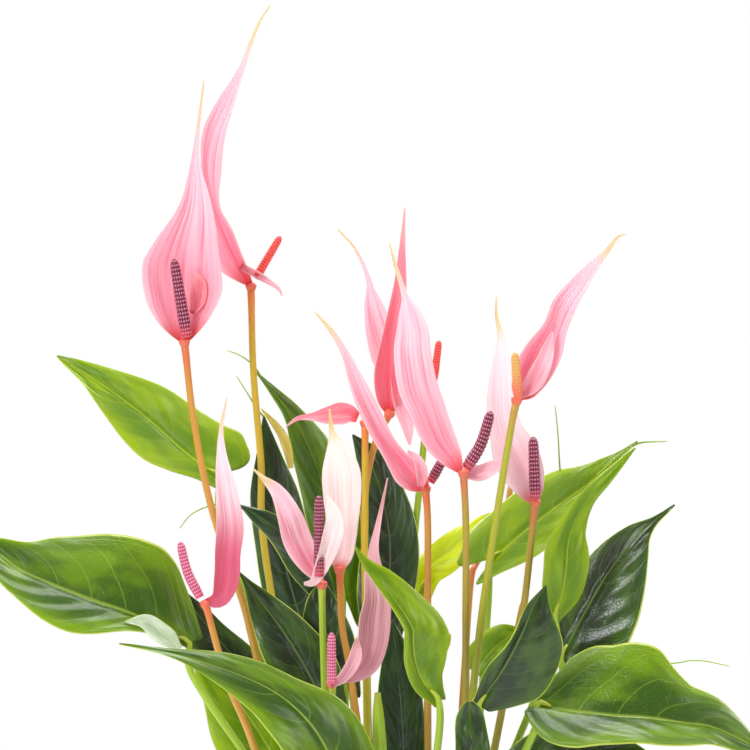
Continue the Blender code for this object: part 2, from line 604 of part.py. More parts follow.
def as_mesh(item, home):
    """The rod as a closed mesh, so that it can be joined to a blade."""
    graph = bpy.context.evaluated_depsgraph_get()
    mesh = bpy.data.meshes.new_from_object(item.evaluated_get(graph))
    work = bmesh.new()
    work.from_mesh(mesh)
    bmesh.ops.remove_doubles(work, verts=work.verts, dist=0.00001)
    work.to_mesh(mesh)
    work.free()
    name = item.name
    bpy.data.objects.remove(item, do_unlink=True)
    made = bpy.data.objects.new(name, mesh)
    home.objects.link(made)
    made.hide_render = True
    made.display_type = "WIRE"
    return made


def turned(name, home, profile):
    """A body turned about the vertical axis from its profile of (radius, height)."""
    mesh = bpy.data.meshes.new(name)
    corners = [(radius * MM, 0.0, height * MM) for radius, height in profile]
    edges = [(i, i + 1) for i in range(len(corners) - 1)]
    mesh.from_pydata(corners, edges, [])
    item = bpy.data.objects.new(name, mesh)
    home.objects.link(item)
    spin = item.modifiers.new("turn", "SCREW")
    spin.steps = POT_STEPS
    spin.render_steps = POT_STEPS
    spin.use_merge_vertices = True
    spin.merge_threshold = 0.00001
    spin.use_smooth_shade = True
    spin.use_normal_flip = True
    return item


def build_pot(parts):
    inner_base = POT_BASE_RADIUS - POT_WALL
    inner_top = POT_TOP_RADIUS - POT_WALL
    rim_low = POT_HEIGHT - POT_RIM_DEPTH
    slope = (POT_TOP_RADIUS - POT_BASE_RADIUS) / POT_HEIGHT
    under_rim = POT_BASE_RADIUS + slope * rim_low
    pot = turned("pot", parts, [
        (0, 0), (POT_BASE_RADIUS, 0), (under_rim, rim_low), (POT_RIM_RADIUS - 1, rim_low),
        (POT_RIM_RADIUS, rim_low + 1), (POT_RIM_RADIUS, POT_HEIGHT - 1.5),
        (POT_RIM_RADIUS - 1.5, POT_HEIGHT), (inner_top, POT_HEIGHT), (inner_base, POT_FLOOR), (0, POT_FLOOR),
    ])
    paint(pot, POT_WHITE, 0.6)
    inner_slope = (inner_top - inner_base) / (POT_HEIGHT - POT_FLOOR)
    soil_radius = inner_base + inner_slope * (SOIL_TOP - POT_FLOOR)
    soil = turned("soil", parts, [
        (0, POT_FLOOR + FIT_GAP), (inner_base - FIT_GAP, POT_FLOOR + FIT_GAP),
        (soil_radius - FIT_GAP, SOIL_TOP), (0, SOIL_TOP),
    ])
    paint(soil, SOIL_BROWN, 0.95)


def build_leaf(name, leaf, parts, joined, colour):
    lobe = leaf.get("lobe", 0.16)
    item = blade(name, parts, leaf, (LEAF_ROWS, LEAF_COLUMNS), LEAF_THICKNESS, lobe, -0.12)
    foot = Vector((*leaf["foot"], SOIL_TOP + FIT_GAP))
    first, second = (Vector(point) for point in leaf["midrib"][:2])
    rise = first.z - foot.z
    toward = (second - first).normalized()
    joint = first + toward * 4
    below = first - Vector((0, 0, 0.10 * rise)) - toward * 1.5
    low = foot + Vector((0, 0, 0.35 * rise))
    bow = Vector(leaf.get("bow", (0, 0, 0)))
    middle = low.lerp(below, 0.5) + bow
    points = [foot, low + bow * 0.4, middle, below, first - toward * 0.5, joint]
    path, radii = tapered(points, PETIOLE_RADIUS, 1.0, 9)
    stalk = as_mesh(rod(name + "_stalk", joined, path, radii, 1), joined)
    union = item.modifiers.new("stalk", "BOOLEAN")
    union.operation = "UNION"
    union.solver = "EXACT"
    union.object = stalk
    paint(item, colour, 0.35)


def build_flower(name, flower, parts):
    stem_points = [Vector(point) for point in flower["stem"]]
    if name not in ONE_PIECE_STEMS:
        stem_points[-1] -= (stem_points[-1] - stem_points[-2]).normalized() * STEM_GAP
    path, radii = tapered(stem_points, STEM_RADIUS, 1.3, 8)
    shape = [0.8, 1.0, 1.0, 0.9, 0.7, 0.3]
    top, _ = even_path(vectors(flower["spadix"]), 5)
    fat = [flower["fat"] * share for share in shape]
    if name in ONE_PIECE_STEMS:
        stem = rod(name + "_stem", parts, path[:-1] + top, radii[:-1] + fat, 2)
    else:
        stem = rod(name + "_stem", parts, path, radii, 1)
        spadix = rod(name + "_spadix", parts, top, fat, 2)
        paint(spadix, SPADIX_PURPLE, 0.5)
    paint(stem, STEM_OCHRE, 0.45)
    if "midrib" not in flower:
        return
    size = (SPATHE_ROWS, SPATHE_COLUMNS)
    spathe = blade(name + "_spathe", parts, flower, size, SPATHE_THICKNESS, 0.0, 0.2)
    paint(spathe, SPATHE_PINK, 0.35)


def main():
    clear_scene()
    parts = new_collection("potted_anthurium")
    joined = new_collection("joined_stalks")
    build_pot(parts)
    for i, (name, leaf) in enumerate(LEAVES.items()):
        build_leaf(name, leaf, parts, joined, LEAF_GREENS[i % 3])
    for name, flower in FLOWERS.items():
        build_flower(name, flower, parts)


main()
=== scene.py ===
import math

import bmesh
import bpy
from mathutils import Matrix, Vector, noise


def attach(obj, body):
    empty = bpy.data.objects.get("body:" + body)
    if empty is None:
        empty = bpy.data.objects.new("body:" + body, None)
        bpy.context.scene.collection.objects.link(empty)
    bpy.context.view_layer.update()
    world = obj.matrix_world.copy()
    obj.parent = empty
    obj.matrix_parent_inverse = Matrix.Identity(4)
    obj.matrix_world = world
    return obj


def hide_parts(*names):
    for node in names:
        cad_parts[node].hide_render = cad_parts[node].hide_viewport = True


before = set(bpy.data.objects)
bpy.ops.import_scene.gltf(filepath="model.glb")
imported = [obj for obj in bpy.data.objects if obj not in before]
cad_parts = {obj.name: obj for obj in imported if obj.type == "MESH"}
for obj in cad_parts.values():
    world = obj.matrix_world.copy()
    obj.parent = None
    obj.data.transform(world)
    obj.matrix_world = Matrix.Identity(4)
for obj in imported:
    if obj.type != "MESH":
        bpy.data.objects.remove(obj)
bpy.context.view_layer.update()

MM = 0.001

# Sheets: rows from the joint to the tip, columns from edge to edge, and thickness in millimetres.
LEAF_ROWS, LEAF_COLUMNS, LEAF_SHEET = 72, 48, 0.35
SPATHE_ROWS, SPATHE_COLUMNS, SPATHE_SHEET = 64, 40, 0.25
# Side veins of a leaf: how many a side, and how far each bows toward the tip.
VEINS, VEIN_BOW, VEIN_CURVE = 7, 0.30, 1.2
PLEATS = 7

# Radii in millimetres along the round parts, as (place 0..1, radius).
STALK_RADII = [(0, 1.7), (0.5, 1.45), (0.93, 1.4), (1, 0.5)]
LEAF_END_RADII = [(0, 0.45), (1, 0.2)]
SHEATH_RADII = [(0, 4), (0.6, 3.4), (0.9, 2.4), (1, 1.2)]
STEM_RADII = [(0, 1.75), (0.6, 1.5), (0.95, 1.4), (1, 1.7)]
COLLAR_RADII = [(0, 1.2), (0.4, 2.0), (0.8, 2.2), (1, 1.0)]
BUD_STEM_RADII = [(0, 1.7), (1, 1.3)]
BUD_RADII = [(0, 1.2), (0.3, 2.6), (0.55, 2.4), (0.85, 1.2), (1, 0.2)]
SPADIX_RINGS, SPADIX_SEGMENTS, FLORET_COLUMNS = 150, 84, 7
ROD_SIDE = Vector((0.2, 1, 0.1))

# Pot and soil, as (radius, height) in millimetres from the axis at the foot round to the axis again.
SOIL_LEVEL = 94
POT_PROFILE = [
    (0, 0), (39.6, 0), (40.7, 0.5), (41.2, 1.6), (53.3, 87), (53.9, 88), (58.9, 88), (59.7, 88.3), (60, 89.1),
    (60, 103.3), (59.6, 104.5), (58.5, 105), (53.6, 105), (52.7, 104.6), (52.3, 103.6), (37.6, 4.2), (0, 4.2),
]
SOIL_RINGS, SOIL_RADIUS, SOIL_TOP = 30, 50.2, 93.2
SOIL_SIDE = [(50.0, 90), (45, 84), (0, 84)]

# Studio, in metres and watts: each lamp's place, size and power, all turned to the middle of the plant.
LAMPS = {
    "back_left": ((-1.1, 1.3, 1.3), (0.9, 0.9), 22),
    "back_right": ((1.2, 1.1, 1.1), (0.9, 0.9), 16),
    "top": ((0, 0.1, 1.7), (1.0, 0.8), 24),
    "front_left": ((-1.3, -1.6, 1.1), (0.8, 0.8), 28),
    "front_right": ((1.5, -1.2, 0.9), (0.8, 0.8), 10),
}
PLANT_MIDDLE = (0, 0, 0.3)
SKY_LIGHT, SKY_SEEN = 0.42, 1.0
FLOOR_RADIUS = 1.5

# Camera: a long lens a little above the middle of the plant, with the pot below the picture.
CAMERA_DISTANCE, CAMERA_ELEVATION = 3.0, math.radians(2.5)
CAMERA_TARGET = (-0.010, 0.0, 0.319)
CAMERA_VIEW_WIDTH = 0.300
SENSOR_WIDTH = 36.0

# Leaves, in millimetres in the CAD frame, as the CAD leaves of the same name: the midrib from the stalk's joint
# to the tip, and the left and right half as stations (place along the midrib 0..1, reach across, reach to the
# front), seen with the tip up; both stands for two equal halves.
LEAVES = {
    "leaf_01": dict(
        midrib=[(-73, 10, 278), (-80, 9, 283), (-89, 8, 290), (-103, 5, 303), (-120, 0, 316), (-137, -6, 327)],
        left=[(0, 3, 3), (0.1, 4, 6), (0.25, 8.5, 12), (0.36, 11, 15), (0.48, 10.5, 14), (0.6, 8.5, 11), (0.75, 6, 7),
              (0.88, 3, 3), (1, 0.3, 0)],
        right=[(0, 16, -8), (0.06, 20, -10), (0.15, 19, -10), (0.25, 17.8, -10), (0.48, 13.5, -8), (0.75, 7, -4),
               (0.88, 3.5, -2), (1, 0.3, 0)],
        foot=(-41, 7), look="lit", lobe=0.1,
    ),
    "leaf_02": dict(
        midrib=[(-84, -28, 214), (-95, -31, 220), (-107, -33, 226), (-124, -33, 232), (-148, -31, 242),
                (-160, -28, 250), (-172, -25, 257)],
        left=[(0, 2, 0), (0.13, 3, 3), (0.27, 6, 8), (0.45, 12, 12), (0.58, 12, 12), (0.71, 9.5, 9), (0.86, 6, 5),
              (1, 0.4, 0)],
        right=[(0, 6, -2), (0.06, 13, -3), (0.13, 20, -5), (0.2, 26, -7), (0.27, 29, -8), (0.45, 27.5, -8),
               (0.58, 22, -6), (0.71, 15.5, -4), (0.86, 6, -2), (1, 0.4, 0)],
        foot=(-40, -23), look="mid", lobe=0.05,
    ),
    "leaf_03": dict(
        midrib=[(-56, 2, 196), (-68, 3, 208), (-80, 4, 222), (-90, 4, 235)],
        left=[(0, 9, 5), (0.3, 13, 8), (0.6, 9, 5), (0.85, 3, 2), (1, 0.3, 0)],
        right=[(0, 5, -2), (0.3, 7, -4), (0.6, 5, -3), (0.85, 2, -1), (1, 0.3, 0)],
        foot=(-30, 3), look="dark",
    ),
    "leaf_04": dict(
        midrib=[(-34, -14, 138), (-42, -15, 154), (-51, -15, 169), (-63, -14, 187), (-74, -13, 199), (-84, -12, 208)],
        left=[(0, 12, 3), (0.2, 19, 4), (0.45, 19, 4), (0.65, 16, 4), (0.85, 7, 2), (1, 0.3, 0)],
        right=[(0, 8, -2), (0.2, 11, -4), (0.65, 9, -3), (0.85, 5, -1), (1, 0.3, 0)],
        foot=(-25, -13), look="lit",
    ),
    "leaf_05": dict(
        midrib=[(-22, -70, 158), (-28, -73, 174), (-36, -75, 187), (-48, -76, 198), (-62, -77, 205), (-76, -77, 210),
                (-92, -75, 214), (-110, -72, 217)],
        left=[(0, 12, 6), (0.15, 17, 9), (0.28, 15, 9), (0.43, 12.5, 8), (0.57, 7.5, 5), (0.7, 3.5, 3),
              (0.84, 1.2, 1), (1, 0.3, 0)],
        right=[(0, 12, -4), (0.15, 17, -6), (0.28, 16, -6), (0.43, 8.5, -5), (0.57, 7, -4), (0.7, 5, -3),
               (0.84, 1.7, -1), (1, 0.3, 0)],
        foot=(-12, -42), look="mid",
    ),
    "leaf_06": dict(
        midrib=[(-38, 31, 212), (-44, 33, 232), (-49, 34, 252), (-52, 35, 272), (-54, 35, 288), (-55, 35, 301)],
        left=[(0, 8, -2), (0.2, 12, -4), (0.45, 11, -4), (0.65, 9.5, -3), (0.82, 4.5, -2), (1, 0.3, 0)],
        right=[(0, 8, -2), (0.2, 14, -4), (0.45, 13, -4), (0.65, 11, -3), (0.82, 6, -2), (1, 0.3, 0)],
        foot=(-22, 26), look="blue",
    ),
    "leaf_07": dict(
        midrib=[(-23, 47, 228), (-25, 48, 247), (-30, 49, 268), (-36, 49, 286), (-43, 48, 300), (-51, 47, 310),
                (-58, 46, 318)],
        left=[(0, 8, -3), (0.19, 12, -4), (0.41, 11, -4), (0.6, 8.5, -4), (0.76, 4, -2), (0.89, 2, -1), (1, 0.3, 0)],
        right=[(0, 8, -3), (0.19, 13, -4), (0.41, 12.5, -4), (0.6, 9.5, -4), (0.76, 4.5, -2), (0.89, 2, -1),
               (1, 0.3, 0)],
        foot=(-13, 37), look="mid",
    ),
    "leaf_08": dict(
        midrib=[(-31, -18, 234), (-37, -20, 245), (-48, -21, 258), (-58, -20, 265), (-64, -19, 268)],
        left=[(0, 4, 2), (0.25, 6.5, 4), (0.5, 6.5, 4), (0.75, 4, 2), (0.9, 2, 1), (1, 0.3, 0)],
        right=[(0, 4, -2), (0.25, 6, -4), (0.5, 5, -4), (0.75, 3.5, -2), (0.9, 1.5, -1), (1, 0.3, 0)],
        foot=(-19, -6), look="blue",
    ),
    "leaf_09": dict(
        midrib=[(-30, -28, 188), (-37, -30, 203), (-46, -31, 218), (-55, -30, 230), (-64, -29, 242)],
        left=[(0, 8, 3), (0.25, 13, 5), (0.5, 12, 4), (0.75, 6, 2), (0.9, 2, 1), (1, 0.3, 0)],
        right=[(0, 8, 1), (0.25, 12, 2), (0.5, 10, 2), (0.75, 5.5, 0), (0.9, 2, 0), (1, 0.3, 0)],
        foot=(-19, -17), look="dark",
    ),
    "leaf_10": dict(
        midrib=[(-22, -22, 196), (-26, -23, 206), (-29, -23, 217), (-31, -23, 228), (-31, -22, 238)],
        left=[(0, 5, 0), (0.2, 9, 2), (0.5, 10, 2), (0.8, 6.5, 1), (0.94, 3, 0), (1, 0.5, 0)],
        right=[(0, 5, 0), (0.2, 9, -2), (0.5, 10, -2), (0.8, 6.5, -1), (0.94, 3, 0), (1, 0.5, 0)],
        foot=(-11, -14), look="blue",
    ),
    "leaf_11": dict(
        midrib=[(-6, 39, 218), (-4, 40, 236), (-4, 41, 252), (-7, 42, 268), (-12, 42, 282), (-19, 42, 293)],
        left=[(0, 8, -2), (0.2, 13, -4), (0.5, 12, -4), (0.7, 9, -3), (0.88, 4.5, -1), (1, 0.3, 0)],
        right=[(0, 8, -2), (0.2, 11, -4), (0.5, 11.5, -4), (0.7, 9, -3), (0.88, 5, -1), (1, 0.3, 0)],
        foot=(-3, 36), look="blue",
    ),
    "leaf_12": dict(
        midrib=[(14.5, -67, 195), (9, -70, 202), (6, -72, 210), (5, -74, 218), (4.5, -75, 224), (-2, -74, 234),
                (-8, -72, 241), (-14, -70, 248), (-18, -68, 255)],
        left=[(0, 3, 0), (0.13, 4.5, 2), (0.25, 4, 3), (0.37, 3, 3), (0.46, 3.2, 3), (0.62, 2.8, 2), (0.76, 1.8, 1),
              (0.89, 1, 0), (1, 0.25, 0)],
        right=[(0, 3, -1), (0.13, 9, -3), (0.25, 13, -5), (0.37, 15.5, -6), (0.46, 12.5, -6), (0.62, 8.8, -4),
               (0.76, 6, -3), (0.89, 2.6, -1), (1, 0.25, 0)],
        foot=(9, -40), look="lit", lobe=0.04,
    ),
    "leaf_13": dict(
        midrib=[(9, 60, 228), (12, 60, 238), (20, 60, 244), (28, 60, 251), (37, 59, 260)],
        left=[(0, 4, -3), (0.3, 6, -5), (0.65, 6, -4), (0.85, 3, -2), (1, 0.3, 0)],
        right=[(0, 4, 3), (0.3, 6.5, 5), (0.65, 6, 4), (0.85, 3, 2), (1, 0.3, 0)],
        foot=(7, 38), look="yellow",
    ),
    "leaf_14": dict(
        midrib=[(37, 30, 243), (51, 32, 255), (60, 32, 262), (68, 32, 268), (76, 31, 274), (87, 30, 284),
                (96, 28, 291)],
        left=[(0, 10, -4), (0.1, 14.5, -7), (0.25, 14.5, -8), (0.39, 14, -8), (0.53, 12.7, -7), (0.66, 8.5, -5),
              (0.85, 1.8, -1), (1, 0.3, 0)],
        right=[(0, 5, 4), (0.25, 8.5, 10), (0.53, 8, 10), (0.66, 6, 7), (0.85, 2, 2), (1, 0.3, 0)],
        foot=(30, 18), look="lit",
    ),
    "leaf_15": dict(
        midrib=[(62, -11, 224), (65, -12, 233), (66.5, -13, 243), (67, -13, 251), (69, -12, 259), (74, -10, 269),
                (82, -8, 278), (94, -5, 290)],
        left=[(0, 3, 1), (0.12, 8, 3), (0.25, 9.3, 4), (0.36, 8.6, 4), (0.47, 5, 2), (0.62, 3.5, 1), (0.77, 2.5, 1),
              (1, 0.3, 0)],
        right=[(0, 3, -1), (0.12, 8, -3), (0.25, 9.3, -4), (0.36, 8.4, -4), (0.47, 5.5, -3), (0.62, 4, -2),
               (0.77, 3, -1), (1, 0.3, 0)],
        foot=(34, -2), look="lit", lobe=0.03,
    ),
    "leaf_16": dict(
        midrib=[(65, 6, 206), (76, 6, 227), (83, 6, 239), (93, 5, 252), (100, 3, 259), (110, 0, 267)],
        left=[(0, 9, -6), (0.15, 12, -10), (0.3, 11.5, -11), (0.49, 10.7, -10), (0.71, 5.5, -5), (0.84, 2, -2),
              (1, 0.3, 0)],
        right=[(0, 12, 6), (0.15, 19, 9), (0.3, 20, 10), (0.49, 16.5, 8), (0.71, 7.7, 5), (0.84, 2.5, 2), (1, 0.3, 0)
               ],
        foot=(37, 8), look="dark", lobe=0.08,
    ),
    "leaf_17": dict(
        midrib=[(31, -58, 192), (37, -61, 201), (42, -63, 209), (47.6, -64, 220), (52, -63, 230), (57, -61, 239)],
        left=[(0, 3, 2), (0.2, 4.5, 3), (0.37, 4.5, 4), (0.6, 3.5, 3), (0.8, 2.5, 2), (1, 0.3, 0)],
        right=[(0, 6, -2), (0.13, 13, -4), (0.26, 19, -6), (0.45, 20.3, -6), (0.64, 17.8, -6), (0.83, 9, -3),
               (0.92, 4, -1), (1, 0.3, 0)],
        foot=(18, -34), look="dark", lobe=0.02,
    ),
    "leaf_18": dict(
        midrib=[(55, -42, 191), (64, -45, 189), (83, -48, 187), (98, -48, 186), (112, -47, 184), (124, -45, 182),
                (140, -42, 174), (158, -38, 163)],
        left=[(0, 6, -2), (0.08, 18.5, -6), (0.17, 26, -8), (0.26, 27.6, -8), (0.35, 29, -8), (0.42, 27, -8),
              (0.47, 21, -7), (0.53, 16, -6), (0.64, 11.5, -5), (0.73, 7, -3), (0.81, 2.8, -1), (1, 0.3, 0)],
        right=[(0, 6, 4), (0.08, 12, 10), (0.17, 12, 14), (0.26, 8.4, 15), (0.35, 6.5, 15), (0.46, 7.2, 14),
               (0.53, 7.2, 12), (0.64, 6, 9), (0.73, 4.5, 6), (0.81, 2.6, 3), (1, 0.3, 0)],
        foot=(30, -24), look="mid", lobe=0.04,
    ),
    "leaf_19": dict(
        midrib=[(27, -78, 150), (28, -80, 172), (27, -79, 195)],
        both=[(0, 4, -1), (0.3, 7.5, -3), (0.6, 7.2, -3), (0.85, 5.8, -2), (0.96, 3.4, 0), (1, 1.2, 0)],
        foot=(2, -47), look="dark",
    ),
    "leaf_20": dict(
        midrib=[(44, -24, 158), (60, -25, 166), (78, -25, 168), (96, -24, 164), (112, -22, 156)],
        left=[(0, 8, -3), (0.3, 14, -4), (0.6, 10, -4), (0.85, 4, -2), (1, 0.3, 0)],
        right=[(0, 6, 4), (0.3, 9, 8), (0.6, 7, 6), (0.85, 3, 2), (1, 0.3, 0)],
        foot=(36, -13), look="dark",
    ),
    "leaf_21": dict(
        midrib=[(2, -16, 150), (1, -18, 180), (-1, -18, 205), (-3, -17, 222)],
        left=[(0, 6, -1), (0.3, 10, -3), (0.6, 9, -3), (0.85, 5, -1), (1, 0.3, 0)],
        right=[(0, 6, -1), (0.3, 9, -3), (0.6, 9, -3), (0.85, 4.5, -1), (1, 0.3, 0)],
        foot=(2, -7), look="blue",
    ),
}

